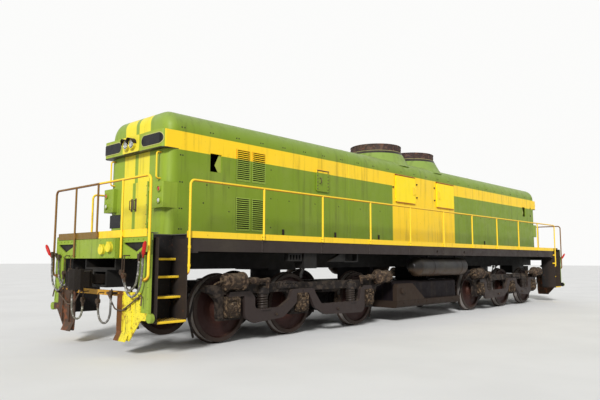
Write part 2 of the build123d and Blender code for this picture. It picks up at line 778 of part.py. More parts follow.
def fan_rims():
    """A flanged rim over each hump, with the two bars that carry the fan's bearing."""
    profile = [
        (HUMP_HEAD_Z, SHAFT_RADIUS), (HUMP_HEAD_Z, HUMP_HEAD + 3), (HUMP_HEAD_Z + 16, HUMP_HEAD + 3),
        (HUMP_HEAD_Z + 16, 552), (HUMP_HEAD_Z + 42, 552), (HUMP_HEAD_Z + 42, 575), (HUMP_HEAD_Z + 56, 575),
        (HUMP_HEAD_Z + 56, 565), (RIM_TOP - 14, 565), (RIM_TOP - 14, 572), (RIM_TOP, 572, 4),
        (RIM_TOP, SHAFT_RADIUS),
    ]
    rims = []
    for x in FAN_X:
        rim = Pos(x, 0, 0) * turned("z", profile)
        inside = Pos(x, 0, sum(FAN_BARS_Z) / 2) * Cylinder(520, FAN_BARS_Z[1] - FAN_BARS_Z[0])
        for y in (-150, 150):
            rim += block((x - 520, x + 520), (y - 15, y + 15), FAN_BARS_Z) & inside
        rims.append(rim + block((x - 25, x + 25), across(140), FAN_BARS_Z))
    return rims


def fan(x):
    """A hub with pitched blades."""
    rotor = turned("z", [(-62, 0), (-62, 105, 12), (52, 105, 25), (62, 60, 10), (62, 0)])
    root, tip = BLADE_REACH
    blade = Pos((root + tip) / 2, 0, 0) * Rot(BLADE_PITCH, 0, 0) * Box(tip - root, *BLADE_SIZE)
    for i in range(FAN_BLADES):
        rotor += Rot(0, 0, 360 / FAN_BLADES * i) * blade
    return Pos(x, 0, FAN_Z) * rotor


def number_housing():
    """The full-width housing round the hood's end, with its lamp panel and two lamp barrels."""
    low = HOOD_END - CORNER_RADIUS
    low_z, high_z = HOUSING_Z
    nose, half = HOUSING_NOSE, HOOD_HALF
    outline = [(low, -half), (nose, -half, 75), (nose, half, 75), (low, half)]
    housing = plate("xy", outline, HOUSING_Z)
    housing -= hood_end(0, HOOD_JOINTS[1])
    panel = [(-235, low_z + 8, 30), (-235, high_z - 8, 30), (235, high_z - 8, 30), (235, low_z + 8, 30)]
    housing += plate("yz", panel, (HOUSING_NOSE, HOUSING_NOSE + 14))
    rim = LAMP_RADIUS + 8
    barrel = [(0, 0), (0, rim), (60, rim), (60, LAMP_RADIUS), (26, LAMP_RADIUS), (26, 0)]
    for side in SIDES:
        housing += Pos(HOUSING_NOSE, side * LAMP_Y, sum(HOUSING_Z) / 2) * turned("x", barrel)
    return housing


def marker_box():
    """A lamp box on the hood's rounded corner, with two lamp rings."""
    back, face = HOOD_END - 170, HOOD_END + 75
    inner, outer = MARKER_Y
    box = plate("xy", [(back, inner), (face, inner, 12), (face, outer, 12), (back, outer)], MARKER_Z)
    box -= hood_end(0, HOOD_JOINTS[1])
    ring = [(0, 0), (0, 46), (22, 46, 4), (22, 36), (8, 36), (8, 0)]
    for z in (2122, 2290):
        box += Pos(face, 760, z) * turned("x", ring)
    return box


def grab_iron():
    """An upright grab bar on the hood's end."""
    x = HOOD_END + 70
    y = 660
    return pipe([(HOOD_END, y, 2845), (x, y, 2845), (x, y, 2455), (HOOD_END, y, 2455)], 12, 35)


# Jumper sockets: y and z of each on the box's face
SOCKETS = ((340, 1408), (545, 1440))


def jumper_box():
    """The box for the control cables' two sockets, below the platform's end."""
    face = HALF_LENGTH + 95
    outline = [(HALF_LENGTH, 1292), (HALF_LENGTH, 1568), (face, 1568, 10), (face, 1292, 10)]
    box = plate("xz", outline, (230, 655))
    socket = [(0, 0), (0, 62), (30, 58, 6), (34, 66), (52, 66, 5), (52, 0)]
    for y, z in SOCKETS:
        box += Pos(face, y, z) * turned("x", socket)
        box += block((face, face + 58), (y - 20, y + 20), (z + 50, z + 78))
    return box


# Air hoses of the left side: x, then y and z of the route's points from the cock's mouth to
# the stowed head's mouth, and z of the rod that the head hangs on
HOSE_RADIUS = 15
HOSES = (
    (7500, ((1345, 1330), (1345, 1120), (1290, 890), (1115, 775), (950, 850), (905, 1010)), 1330),
    (7462, ((1190, 1290), (1190, 1120), (1125, 930), (985, 862), (845, 915), (790, 1050)), 1330),
    (7505, ((580, 795), (580, 660), (572, 515), (475, 410), (332, 412), (232, 515), (228, 640)), 815),
)
COCK_RADIUS = 25
COCK_HEIGHT = 62
COCK_PIPE_RADIUS = 20
HEAD_RADIUS = 22
HEAD_LENGTH = 58
COUPLING_RADIUS = 34
COUPLING_HALF = 20
ROD_RADIUS = 7


def brake_hoses():
    """Hoses that hang from their cocks in a wide bend."""
    hoses = []
    for x, route, rod_z in HOSES:
        points = [Vector(x, y, z) for y, z in route]
        arcs = [widest_arc(*three) for three in zip(points, points[1:], points[2:])]
        print("hose at x", x, "arc radii", [round(arc) for arc in arcs])
        hoses.append(pipe(points, HOSE_RADIUS))
    return hoses


def hose_fittings():
    """Each hose's cock on its pipe from the end plate, and its head on a bent rod."""
    fittings = []
    for x, route, rod_z in HOSES:
        y, z = route[0]
        cock = bar((x, y, z), (x, y, z + COCK_HEIGHT), COCK_RADIUS)
        pipe_z = z + COCK_RADIUS
        fittings.append(cock + bar((x, y, pipe_z), (HALF_LENGTH, y, pipe_z), COCK_PIPE_RADIUS))
        mouth = Vector(x, *route[-1])
        way = (mouth - Vector(x, *route[-2])).normalized()
        eye = mouth + way * HEAD_LENGTH
        head = bar(tuple(mouth), tuple(eye), HEAD_RADIUS)
        head += bar((x - COUPLING_HALF, eye.Y, eye.Z), (x + COUPLING_HALF, eye.Y, eye.Z), COUPLING_RADIUS)
        fittings.append(head + pipe([eye, (x, eye.Y, rod_z), (HALF_LENGTH, eye.Y, rod_z)], ROD_RADIUS, 25))
    return fittings


def side_door(opening, hinge_x):
    """An outside door on the hood's flank, hung from its knuckles."""
    x, z = opening
    low = HOOD_HALF + DOOR_GAP
    outline = [(x[0], z[0], 30), (x[0], z[1], 30), (x[1], z[1], 30), (x[1], z[0], 30)]
    leaf = plate("xz", outline, (low, low + DOOR_THICK))
    for height in (z[0] + 110, z[1] - 110):
        leaf += Pos(hinge_x, low + DOOR_THICK / 2, height) * Cylinder(HINGE_RADIUS, HINGE_LENGTH)
    return leaf


def end_door():
    """The left leaf of the double door in the hood's end."""
    low = HOOD_END + DOOR_GAP
    bottom, top = END_DOOR_Z
    edge = END_DOOR_HALF
    leaf = plate("yz", [(3, bottom), (3, top), (edge, top, 20), (edge, bottom, 20)], (low, low + DOOR_THICK))
    for height in (bottom + 120, top - 120):
        leaf += Pos(low + DOOR_THICK / 2, edge + DOOR_GAP, height) * Cylinder(HINGE_RADIUS, HINGE_LENGTH)
    return leaf


# The coupler seen from above: the head with its guard arm, and the knuckle. x, y, corner radius
COUPLER_HEAD = (
    (7540, -75), (7595, -150, 40), (7760, -212, 25), (7798, -190, 15), (7712, -82, 40), (7685, 0, 30),
    (7700, 62), (7740, 170, 15), (7600, 158, 40), (7540, 75),
)
KNUCKLE = (
    (7690, 40, 10), (7742, 52, 12), (7752, -20, 18), (7822, -32, 24), (7858, 50, 36), (7838, 140, 40),
    (7745, 172, 20), (7690, 165, 10),
)


def coupler():
    """A knuckle coupler with its shank, which swings on a pin in the pocket."""
    shank = block((COUPLER_PIN_X, 7560), across(65), (COUPLER_Z - 65, COUPLER_Z + 65))
    shank += Pos(COUPLER_PIN_X, 0, COUPLER_Z) * Cylinder(80, 130)
    shank -= Pos(COUPLER_PIN_X, 0, COUPLER_Z) * Cylinder(COUPLER_PIN_RADIUS + 1, 200)
    head = plate("xy", COUPLER_HEAD, (COUPLER_Z - 105, COUPLER_Z + 105))
    knuckle = plate("xy", KNUCKLE, (COUPLER_Z - 140, COUPLER_Z + 140))
    pin = Pos(7772, 118, COUPLER_Z) * Cylinder(22, 330)
    horn = block((7540, 7572), across(105), (COUPLER_Z - 105, COUPLER_Z + 130))
    return joined([shank, head, knuckle, pin, horn])


def fuel_tank():
    """The tank between the bogies, with a skirt along its foot and a wedge panel ahead."""
    low, high = TANK_Z
    half, edge = TANK_HALF, SKIRT_HALF
    body = plate("yz", [(-half, low), (-half, high, 60), (half, high, 60), (half, low)], TANK_X)
    skirt = [(-edge, low, 70), (-edge, SKIRT_TOP, 12), (edge, SKIRT_TOP, 12), (edge, low, 70)]
    tank = body + plate("yz", skirt, TANK_X)
    wedge_foot = SKIRT_TOP - 5
    wedge = [(TANK_X[1], wedge_foot), (TANK_X[1], 797, 90), (970, 797, 15), (460, wedge_foot)]
    wedge = plate("xz", wedge, (half - 5, edge))
    tank += wedge + mirrored(wedge)
    for x in (-900, 1400):
        tank += block((x - 60, x + 60), across(CENTRE_SILL_Y[1]), (high, CENTRE_SILL_BOTTOM))
    return tank


def air_reservoir():
    """A drum with dished ends under the side sill, in two straps from the sill."""
    low, high = RESERVOIR_X
    radius = RESERVOIR_RADIUS
    profile = [(low, 0), (low, radius - 90, 60), (low + 110, radius, 80), (high - 190, radius, 120),
               (high, radius - 110, 50), (high, 0)]
    for_straps = [Pos(x, 0, 0) * Rot(0, 90, 0) * Cylinder(radius + 5, 44) for x in STRAPS_X]
    drum = Pos(0, RESERVOIR_Y, RESERVOIR_Z) * joined([turned("x", profile)] + for_straps)
    for x in STRAPS_X:
        wide = (x - 22, x + 22)
        drum += block(wide, (RESERVOIR_Y - 20, RESERVOIR_Y + 20), (RESERVOIR_Z + radius - 20, SILL_BOTTOM))
        drum += block(wide, (RESERVOIR_Y - 20, HALF_WIDTH - 2), (SILL_BOTTOM - 14, SILL_BOTTOM))
    return drum


def underfloor_gear():
    """The switch box with its conduit, a slotted bracket and an angled one below each side sill."""
    box = block((4129, 4444), (1080, 1300), (1137, SILL_BOTTOM))
    box += bar((4400, 1250, 1150), (4470, 1250, 1040), 26)
    box += bar((4470, 1250, 1050), (4470, 1250, 985), 26)
    slotted = block((4485, 4811), (1200, 1290), (1256, SILL_BOTTOM))
    for x in (4520, 4590, 4660, 4730):
        slotted -= block((x, x + 42), (1150, 1350), (1280, 1360))
    angled = plate("xz", [(3790, 1246), (3477, SILL_BOTTOM), (3380, SILL_BOTTOM), (3380, 1246)], (1220, 1290))
    shelf = block((2960, 3370), (1180, 1290), (1240, 1262))
    for x in (2960, 3340):
        shelf += block((x, x + 30), (1180, 1290), (1262, SILL_BOTTOM))
    return both_ends([box, slotted, angled, shelf])


def engine_block():
    """The diesel engine and its generator as one plain block."""
    return block((-3200, 1900), across(520), (DECK_TOP, 2900))


save("underframe", [underframe()])
save("centre_sill", [centre_sill()])
save("deck_plate", [deck()])
save("toe_strips", toe_strips())
save("headstocks", both_ends([headstock()]))
save("pilots", pilots())
save("step_wells", both_ends(both_sides([step_well()])))
save("end_rails", both_ends([end_rail()]))
save("side_rails", both_sides([side_rail()]))
save("hood_front", [hood_front()])
save("hood_centre", [hood_centre()])
save("hood_rear", [hood_rear()])
save("louvres", louvres())
save("number_boxes", both_ends([number_housing()]))
save("marker_boxes", both_ends(both_sides([marker_box()])))
save("grab_irons", both_ends(both_sides([grab_iron()])))
save("jumper_boxes", both_ends([jumper_box()]))
save("brake_hoses", both_ends(both_sides(brake_hoses())))
save("hose_fittings", both_ends(both_sides(hose_fittings())))
save("roof_hatch", [roof_hatch()])
save("fan_rims", fan_rims())
save("engine_block", [engine_block()])
save("fuel_tank", [fuel_tank()])
save("air_reservoirs", both_sides([air_reservoir()]))
save("underfloor_gear", underfloor_gear())
for i, x in enumerate(FAN_X):
    save(f"fan_{i + 1}", [fan(x)])

# Doors of the left side: name, opening, hinge line
FLANK_DOORS = (
    ("side_door_{}_front", FRONT_DOOR, FRONT_DOOR[0][1] + DOOR_GAP),
    ("side_door_{}_rear", REAR_DOOR, REAR_DOOR[0][0] - DOOR_GAP),
    ("cover_{}", COVER, COVER[0][0] - DOOR_GAP),
)
for name, opening, hinge_x in FLANK_DOORS:
    left = side_door(opening, hinge_x)
    save(name.format("left"), [left])
    save(name.format("right"), [mirrored(left)])

# Parts of one bogie, drawn for the front
BOGIE = (
    ("frame", [bogie_frame()]),
    ("equalizers", bogie_equalizers()),
    ("springs", bogie_springs()),
    ("journal_boxes", bogie_boxes()),
    ("motors", bogie_motors()),
    ("brakes", bogie_brakes()),
)
for name, end in ENDS:
    save(f"coupler_{name}", [at_end(coupler(), end)])
    for hand, side in HANDS:
        save(f"end_door_{name}_{hand}", [at_end(end_door() if side * end > 0 else mirrored(end_door()), end)])
    for part, pieces in BOGIE:
        save(f"bogie_{name}_{part}", [Pos(end * PIVOT_X, 0, 0) * at_end(piece, end) for piece in pieces])
    for i, x in enumerate(AXLES):
        save(f"wheelset_{name}_{i + 1}", [wheelset(end * (PIVOT_X + x))])
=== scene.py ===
# %% [markdown]
# # A cabless booster locomotive, dressed for the studio
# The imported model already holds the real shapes: hood, bogies, couplers, doors. This lesson
# adds what a modeller calls the finish: aged paint, grime, springs, bolts, hoses and lamps.
# Loading comes first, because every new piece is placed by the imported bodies.

# %% Load the frame
import math

import bpy
import numpy as np
from mathutils import Matrix, Vector


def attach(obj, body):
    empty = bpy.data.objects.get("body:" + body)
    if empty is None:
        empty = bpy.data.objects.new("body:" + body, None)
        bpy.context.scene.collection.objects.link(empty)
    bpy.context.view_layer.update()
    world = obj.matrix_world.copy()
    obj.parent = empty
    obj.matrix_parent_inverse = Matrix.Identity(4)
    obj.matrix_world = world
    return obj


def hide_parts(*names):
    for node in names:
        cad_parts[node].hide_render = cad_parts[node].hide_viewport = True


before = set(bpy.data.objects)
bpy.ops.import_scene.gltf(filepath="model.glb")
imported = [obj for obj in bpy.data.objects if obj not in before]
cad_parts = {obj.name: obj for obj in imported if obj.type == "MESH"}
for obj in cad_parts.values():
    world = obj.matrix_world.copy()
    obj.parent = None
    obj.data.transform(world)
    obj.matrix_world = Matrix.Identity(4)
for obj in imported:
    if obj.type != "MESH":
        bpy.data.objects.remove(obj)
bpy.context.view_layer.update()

# %% [markdown]
# ## The camera
# The camera stands low beside the end of the locomotive. A fit of known points gave the
# place, the turn, the lift, a slight tilt and the lens, so they are set as plain numbers.
# The picture is 600 pixels wide on a 36 mm sensor.

# %% Camera
EYE = (11.393, 7.762, 1.280)
TURN, LIFT, TILT = math.radians(43.3455), math.radians(6.0281), math.radians(0.19)
LENS = 33.97


def looking(turn, lift, tilt):
    """Columns: the camera's right, its up, and the way back from what it looks at."""
    ahead = Vector((-math.cos(turn) * math.cos(lift), -math.sin(turn) * math.cos(lift), math.sin(lift)))
    right = ahead.cross(Vector((0, 0, 1))).normalized()
    up = right.cross(ahead)
    tilted_right = right * math.cos(tilt) + up * math.sin(tilt)
    tilted_up = up * math.cos(tilt) - right * math.sin(tilt)
    return Matrix((tilted_right, tilted_up, -ahead)).transposed()


camera = bpy.data.objects.new("camera", bpy.data.cameras.new("camera"))
camera.matrix_world = Matrix.Translation(EYE) @ looking(TURN, LIFT, TILT).to_4x4()
camera.data.lens = LENS
camera.data.sensor_width = 36
camera.data.clip_end = 500
bpy.context.scene.collection.objects.link(camera)
bpy.context.scene.camera = camera
print("camera at", EYE)

# %% [markdown]
# ## Shapes from arrays
# A bolt, a spring and a gutter are all one idea: a ring of points repeated at stations, with
# a skin between them. The skin is closed by a flat cap at both ends. Its enclosed volume
# tells if the faces point out, so that no piece is ever inside out.

# %% A skin over rings
def outward(points, corners, sizes):
    """The faces turned over if the sum of a . (b x c) over their triangles is negative."""
    starts = np.cumsum(sizes) - sizes
    owner = np.repeat(np.arange(len(sizes)), sizes - 2)
    first = np.repeat(np.cumsum(sizes - 2) - (sizes - 2), sizes - 2)
    step = starts[owner] + np.arange(len(owner)) - first + 1
    a, b, c = (points[corners[at]] for at in (starts[owner], step, step + 1))
    if (a * np.cross(b, c)).sum() < 0:
        return points, corners[::-1], sizes[::-1]
    return points, corners, sizes


def skin(rings, loop=False):
    """Quads between each ring and the next, and a cap at each end unless the path is a loop."""
    rings = np.asarray(rings, float)
    m, n = rings.shape[:2]
    i, j = np.meshgrid(np.arange(m if loop else m - 1), np.arange(n), indexing="ij")
    after, beside = (i + 1) % m, (j + 1) % n
    quads = np.stack([i * n + j, i * n + beside, after * n + beside, after * n + j], -1).reshape(-1)
    corners, sizes = [quads], [np.full(len(quads) // 4, 4)]
    if not loop:
        corners += [np.arange(n)[::-1], (m - 1) * n + np.arange(n)]
        sizes += [np.array([n, n])]
    return outward(rings.reshape(-1, 3), np.concatenate(corners), np.concatenate(sizes))


block = [[(0, 0, h), (1, 0, h), (1, 1, h), (0, 1, h)] for h in (0, 1)]
print("a block of 2 rings of 4 has", len(skin(block)[2]), "faces")

# %% [markdown]
# Two rules make most of the rings. A profile turned about an axis gives what is round, such
# as bolts, caps and lamps. A section carried along a path gives bars, pipes and springs.
# Both only work out where the points are, and the skin above does the rest.

# %% Turned and carried shapes
def turned(profile, sides, loop=False):
    """Radius and height pairs turned about Z: x = r cos t, y = r sin t, z = h; a loop is a hollow ring."""
    t = np.arange(sides) * 2 * np.pi / sides
    r, h = np.asarray(profile, float).T
    rings = np.stack([np.outer(r, np.cos(t)), np.outer(r, np.sin(t)), np.outer(h, np.ones(sides))], -1)
    return skin(rings, loop)


def carried(path, section, up):
    """A section's points (aside, up) set square to the path at each of its points."""
    path = np.asarray(path, float)
    way = np.gradient(path, axis=0)
    way /= np.linalg.norm(way, axis=1, keepdims=True)
    aside = np.cross(way, up)
    aside /= np.linalg.norm(aside, axis=1, keepdims=True)
    over = np.cross(aside, way)
    section = np.asarray(section, float)
    return skin(path[:, None] + aside[:, None] * section[None, :, :1] + over[:, None] * section[None, :, 1:])


def round_section(radius, sides=10):
    """Points of a circle, radius times cosine and sine."""
    t = np.arange(sides) * 2 * np.pi / sides
    return radius * np.stack([np.cos(t), np.sin(t)], -1)


def cushioned(points, radius, steps=4):
    """A path of straight runs with each inner corner rounded by a short curve through it.

    Each corner gives points (1-s)^2 a + 2s(1-s) corner + s^2 b, with a and b one radius away."""
    points = np.asarray(points, float)
    out = [points[:1]]
    s = np.linspace(0, 1, steps)[:, None]
    for before, corner, after in zip(points, points[1:], points[2:]):
        a = corner + radius * (before - corner) / np.linalg.norm(before - corner)
        b = corner + radius * (after - corner) / np.linalg.norm(after - corner)
        out.append((1 - s) ** 2 * a + 2 * s * (1 - s) * corner + s ** 2 * b)
    return np.concatenate(out + [points[-1:]])


print("a turned ring of 6 sides has", len(turned([(1, 0), (1, 1)], 6)[0]), "points")

# %% [markdown]
# No real plate has a perfectly sharp edge, and a cut edge catches the light, so slabs have
# theirs cut off. Copies and mirror images are made of the arrays themselves, which turns
# hundreds of bolts into one object and one line.

# %% Slabs, copies and joined shapes
def slab(x, y, z, edge=0.004):
    """A block whose twelve edges are cut off: four rings, of which the outer two are drawn in."""
    (x0, x1), (y0, y1), (z0, z1) = (sorted(r) for r in (x, y, z))
    rings = []
    for height, inset in ((z0, edge), (z0 + edge, 0), (z1 - edge, 0), (z1, edge)):
        a, b, c, d = x0 + inset, x1 - inset, y0 + inset, y1 - inset
        outline = ((a + edge, c), (b - edge, c), (b, c + edge), (b, d - edge),
                   (b - edge, d), (a + edge, d), (a, d - edge), (a, c + edge))
        rings.append([(*spot, height) for spot in outline])
    return skin(rings)


def joined(shapes):
    """Several shapes as one: the corner numbers of each move on by the points before it."""
    counts = np.cumsum([0] + [len(s[0]) for s in shapes])
    return (np.concatenate([s[0] for s in shapes]),
            np.concatenate([s[1] + n for s, n in zip(shapes, counts)]),
            np.concatenate([s[2] for s in shapes]))


def facing(way):
    """A turn that takes Z to the way given: its columns are aside, over and the way itself."""
    way = np.asarray(way, float) / np.linalg.norm(way)
    aside = np.cross((0, 0, 1.0), way)
    aside = aside / np.linalg.norm(aside) if np.linalg.norm(aside) > 1e-6 else np.array((1.0, 0, 0))
    return np.stack([aside, np.cross(way, aside), way], -1)


def copies(shape, places, way=(0, 0, 1)):
    """The shape turned to face a way, then repeated: every place plus every point."""
    points, corners, sizes = shape
    places = np.asarray(places, float).reshape(-1, 3)
    spots = (places[:, None] + (points @ facing(way).T)[None]).reshape(-1, 3)
    shift = np.arange(len(places))[:, None] * len(points)
    return spots, (corners[None] + shift).ravel(), np.tile(sizes, len(places))


def flipped(shape, signs):
    """The shape multiplied by a sign on each axis, turned over again where that mirrors it."""
    points, corners, sizes = shape
    points = points * np.asarray(signs, float)
    return (points, corners, sizes) if np.prod(signs) > 0 else (points, corners[::-1], sizes[::-1])


BOTH_SIDES = ((1, 1, 1), (1, -1, 1))
BOTH_ENDS = ((1, 1, 1), (-1, -1, 1))
ALL_CORNERS = ((1, 1, 1), (1, -1, 1), (-1, 1, 1), (-1, -1, 1))


def spread(shapes, signs):
    """Each shape at every place of symmetry."""
    return [flipped(shape, sign) for sign in signs for shape in shapes]


print("a slab has", len(slab((0, 1), (0, 1), (0, 1))[2]), "faces")

# %% [markdown]
# ## From arrays to an object
# foreach_set hands whole arrays to the mesh at once. The object stays at the origin with its
# place in its mesh. Edges sharper than 35 degrees stay crisp and the rest is shaded smooth.
# Each piece then rides on the body that carries it, and takes one material.

# %% Make a piece
CRISP = math.radians(35)
made = {}


def piece(name, shapes, body, material):
    """One mesh object from joined shapes, riding on a body."""
    points, corners, sizes = joined(shapes)
    mesh = bpy.data.meshes.new(name)
    mesh.vertices.add(len(points))
    mesh.vertices.foreach_set("co", points.astype(np.float32).ravel())
    mesh.loops.add(len(corners))
    mesh.loops.foreach_set("vertex_index", corners.astype(np.int32))
    mesh.polygons.add(len(sizes))
    mesh.polygons.foreach_set("loop_start", (np.cumsum(sizes) - sizes).astype(np.int32))
    mesh.update(calc_edges=True)
    mesh.polygons.foreach_set("use_smooth", np.ones(len(sizes), bool))
    mesh.set_sharp_from_angle(angle=CRISP)
    mesh.materials.append(material)
    thing = bpy.data.objects.new(name, mesh)
    bpy.context.scene.collection.objects.link(thing)
    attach(thing, body)
    made[name] = int((sizes - 2).sum())
    print(name, "has", made[name], "triangles")
    return thing


def fixed(name, shapes, signs, material):
    """A piece on the body itself, with each of its shapes at every place of symmetry."""
    return piece(name, spread(shapes, signs), "carbody", material)


# %% [markdown]
# ## Nodes in a few words
# Every finish is a small tree of nodes on Object coordinates, which here are metres in the
# locomotive's own frame. That lets a colour stop at a real height, and keeps dirt in place
# when a door swings. These helpers add a node, link it, and return its outlet.

# %% Node helpers
def start(name):
    """A material with its tree and its Principled shader."""
    material = bpy.data.materials.new(name)
    material.use_nodes = True
    tree = material.node_tree
    return material, tree, tree.nodes["Principled BSDF"]


def add(tree, kind, inputs=(), **settings):
    """A node with its settings; each input is a socket to link or a plain value."""
    node = tree.nodes.new("ShaderNode" + kind)
    for key, value in settings.items():
        setattr(node, key, value)
    for key, value in dict(inputs).items():
        if isinstance(value, bpy.types.NodeSocket):
            tree.links.new(value, node.inputs[key])
        else:
            node.inputs[key].default_value = value
    return node


def sums(tree, operation, *values):
    """One Math node's result."""
    return add(tree, "Math", enumerate(values), operation=operation).outputs[0]


def product(tree, a, b):
    """Two masks at once, as their product."""
    return sums(tree, "MULTIPLY", a, b)


def unsigned(tree, value):
    """The value without its sign, so that one mask serves both sides or both ends."""
    return sums(tree, "ABSOLUTE", value)


def distance(tree, a, b):
    """The length across two differences: the root of the sum of their squares."""
    place = add(tree, "CombineXYZ", {0: a, 1: b})
    return add(tree, "VectorMath", {0: place.outputs[0]}, operation="LENGTH").outputs["Value"]


def metres(tree):
    """Object coordinates, which don't move when a piece swings."""
    return add(tree, "TexCoord").outputs["Object"]


def upward(tree):
    """The height of a face's normal: 1 where it looks up and -1 where it looks down."""
    return add(tree, "SeparateXYZ", {0: add(tree, "NewGeometry").outputs["Normal"]}).outputs[2]


def ramped(tree, value, low, high, end=1.0):
    """0 at low and end at high, smooth between; a low above its high runs the other way."""
    inputs = {"Value": value, "From Min": low, "From Max": high, "To Max": end}
    return add(tree, "MapRange", inputs, interpolation_type="SMOOTHSTEP").outputs[0]


def between(tree, value, low, high, edge=0.003):
    """1 from low to high and 0 outside, as the product of a rise and a fall."""
    rise = ramped(tree, value, low - edge, low + edge)
    return product(tree, rise, ramped(tree, value, high + edge, high - edge))


def mixed(tree, amount, base, top):
    """The top colour over the base by an amount."""
    node = add(tree, "Mix", {0: amount}, data_type="RGBA")
    for key, value in ((6, base), (7, top)):
        if isinstance(value, bpy.types.NodeSocket):
            tree.links.new(value, node.inputs[key])
        else:
            node.inputs[key].default_value = (*value, 1)
    return node.outputs[2]


def speckle(tree, coords, scale, detail=4, rough=0.55, stretch=(1, 1, 1)):
    """Noise of about scale cells a metre, drawn out where stretch is small."""
    placed = add(tree, "Mapping", {"Vector": coords, "Scale": stretch}).outputs[0]
    inputs = {"Vector": placed, "Scale": scale, "Detail": detail, "Roughness": rough}
    return add(tree, "TexNoise", inputs).outputs["Fac"]


print("helpers ready")

# %% [markdown]
# ## Paint that has stood outdoors
# Old paint is never one colour. It chalks in clouds, runs in dark streaks under each ledge,
# collects dust on faces that look up, and rusts in patches. One recipe takes all these as
# amounts, so that each part of the locomotive gets its own mix and they still belong together.

# %% The weathering recipe
CHALK = (0.42, 0.42, 0.17)
DIRT = (0.030, 0.021, 0.013)
DUST = (0.20, 0.155, 0.105)
RUST = (0.20, 0.062, 0.022)
PRIMER = (0.045, 0.030, 0.022)


def aged(name, paint, rough, *, streaks, dust, chalk=0.0, rust=0.0, chips=0.0, metal=0.0,
         pits=0.0004, dents=0.0, lumps=0.0, specular=0.22):
    """A finish: the paint, then chalk, streaks, rust, chips and dust laid over it in turn."""
    material, tree, shader = start(name)
    coords = metres(tree)
    x, y, z = add(tree, "SeparateXYZ", {0: coords}).outputs
    colour = paint(tree, x, y, z) if callable(paint) else paint
    cloud = speckle(tree, coords, 1.1, 6, 0.6)
    colour = mixed(tree, ramped(tree, cloud, 0.42, 0.72, chalk), colour, CHALK)
    run = speckle(tree, coords, 9, 5, 0.6, (1, 1, 0.07))
    runs = ramped(tree, run, 0.50, 0.72, streaks)
    colour = mixed(tree, product(tree, runs, ramped(tree, cloud, 0.25, 0.6)), colour, DIRT)
    patch = speckle(tree, coords, 7, 8, 0.68)
    if rust:
        colour = mixed(tree, ramped(tree, patch, 0.68 - 0.2 * rust, 0.76 - 0.16 * rust, rust), colour, RUST)
    if chips:
        spots = speckle(tree, coords, 48, 3)
        chip_and_shade_mask = ramped(tree, spots, 0.72 - 0.12 * chips, 0.75 - 0.12 * chips, 0.9)
        colour = mixed(tree, chip_and_shade_mask, colour, PRIMER)
    lying = product(tree, ramped(tree, upward(tree), 0.1, 0.95, dust), ramped(tree, patch, 0.3, 0.62))
    settled = sums(tree, "ADD", lying, ramped(tree, cloud, 0.52, 0.8, 0.35 * dust))
    colour = mixed(tree, settled, colour, DUST)
    tree.links.new(colour, shader.inputs["Base Color"])
    dull = sums(tree, "ADD", ramped(tree, patch, 0.3, 0.7, 0.22), rough - 0.1)
    tree.links.new(dull, shader.inputs["Roughness"])
    shader.inputs["Metallic"].default_value = metal
    shader.inputs["Specular IOR Level"].default_value = specular
    grain = speckle(tree, coords, 240, 2, 0.6)
    bumped = add(tree, "Bump", {"Height": grain, "Distance": pits, "Strength": 1.0})
    for height, scale, detail in ((dents, 1.7, 2), (lumps, 26, 6)):
        if height:
            wave = speckle(tree, coords, scale, detail, 0.5)
            inputs = {"Height": wave, "Distance": height, "Strength": 1.0, "Normal": bumped.outputs[0]}
            bumped = add(tree, "Bump", inputs)
    tree.links.new(bumped.outputs[0], shader.inputs["Normal"])
    return material


print("recipe ready")

# %% [markdown]
# ## Green and yellow
# The livery is a green hood with a yellow band below the roof line, a yellow panel amidships
# and two yellow stripes on each end. The masks are ranges of x, y and z, so the doors and
# louvres in the way take their share of them. A range without an end stops at FAR, which is
# beyond the locomotive.

# %% Livery masks
GREEN = (0.176, 0.262, 0.018)
# a lighter copy of the hood's green, painted light of the sunlit ends; the end plates, number housings,
# marker boxes and jumper boxes wear it too
LIT_END_GREEN = (0.240, 0.335, 0.030)
# a lighter, bluer copy of the green for the roof and the fans' humps: a painted reflection of the sky
SKY_SHEEN_GREEN = (0.205, 0.300, 0.056)
YELLOW = (0.93, 0.61, 0.022)
STRIPE_YELLOW = (0.74, 0.62, 0.038)
DOOR_YELLOW = (0.93, 0.71, 0.010)
RAIL_YELLOW = (0.88, 0.58, 0.028)
# near black that stands for shade: painted shade inside the hood, between the louvres' lips, under the fans'
# rims, behind the steps and in the end plate's recesses
SHADE_BLACK = (0.010, 0.009, 0.009)
FAR = 9
BAND_Z = (2.890, 3.165)
PANEL_X = (-1.580, 1.150)
STRIPE_Y = (0.045, 0.360)
FLANK_Y = 0.80
STRIPES_FROM = 6.30
# the range of x over which the painted light of the ends comes in
END_LIGHT_RAMP = (6.68, 6.84)
ROOF_SHEEN_RAMP = (3.15, 3.5)
PANEL_FOOT = 1.0
SHELL_LINE = (0.550, 3.198)


def inside_hood(tree, aside, along, z):
    """1 within the shell: less than 0.28 m from the line that the shoulder is rounded about."""
    over = sums(tree, "MAXIMUM", sums(tree, "SUBTRACT", aside, SHELL_LINE[0]), 0.0)
    above = sums(tree, "MAXIMUM", sums(tree, "SUBTRACT", z, SHELL_LINE[1]), 0.0)
    within = ramped(tree, distance(tree, over, above), 0.277, 0.273)
    return product(tree, within, ramped(tree, along, 6.63, 6.62))


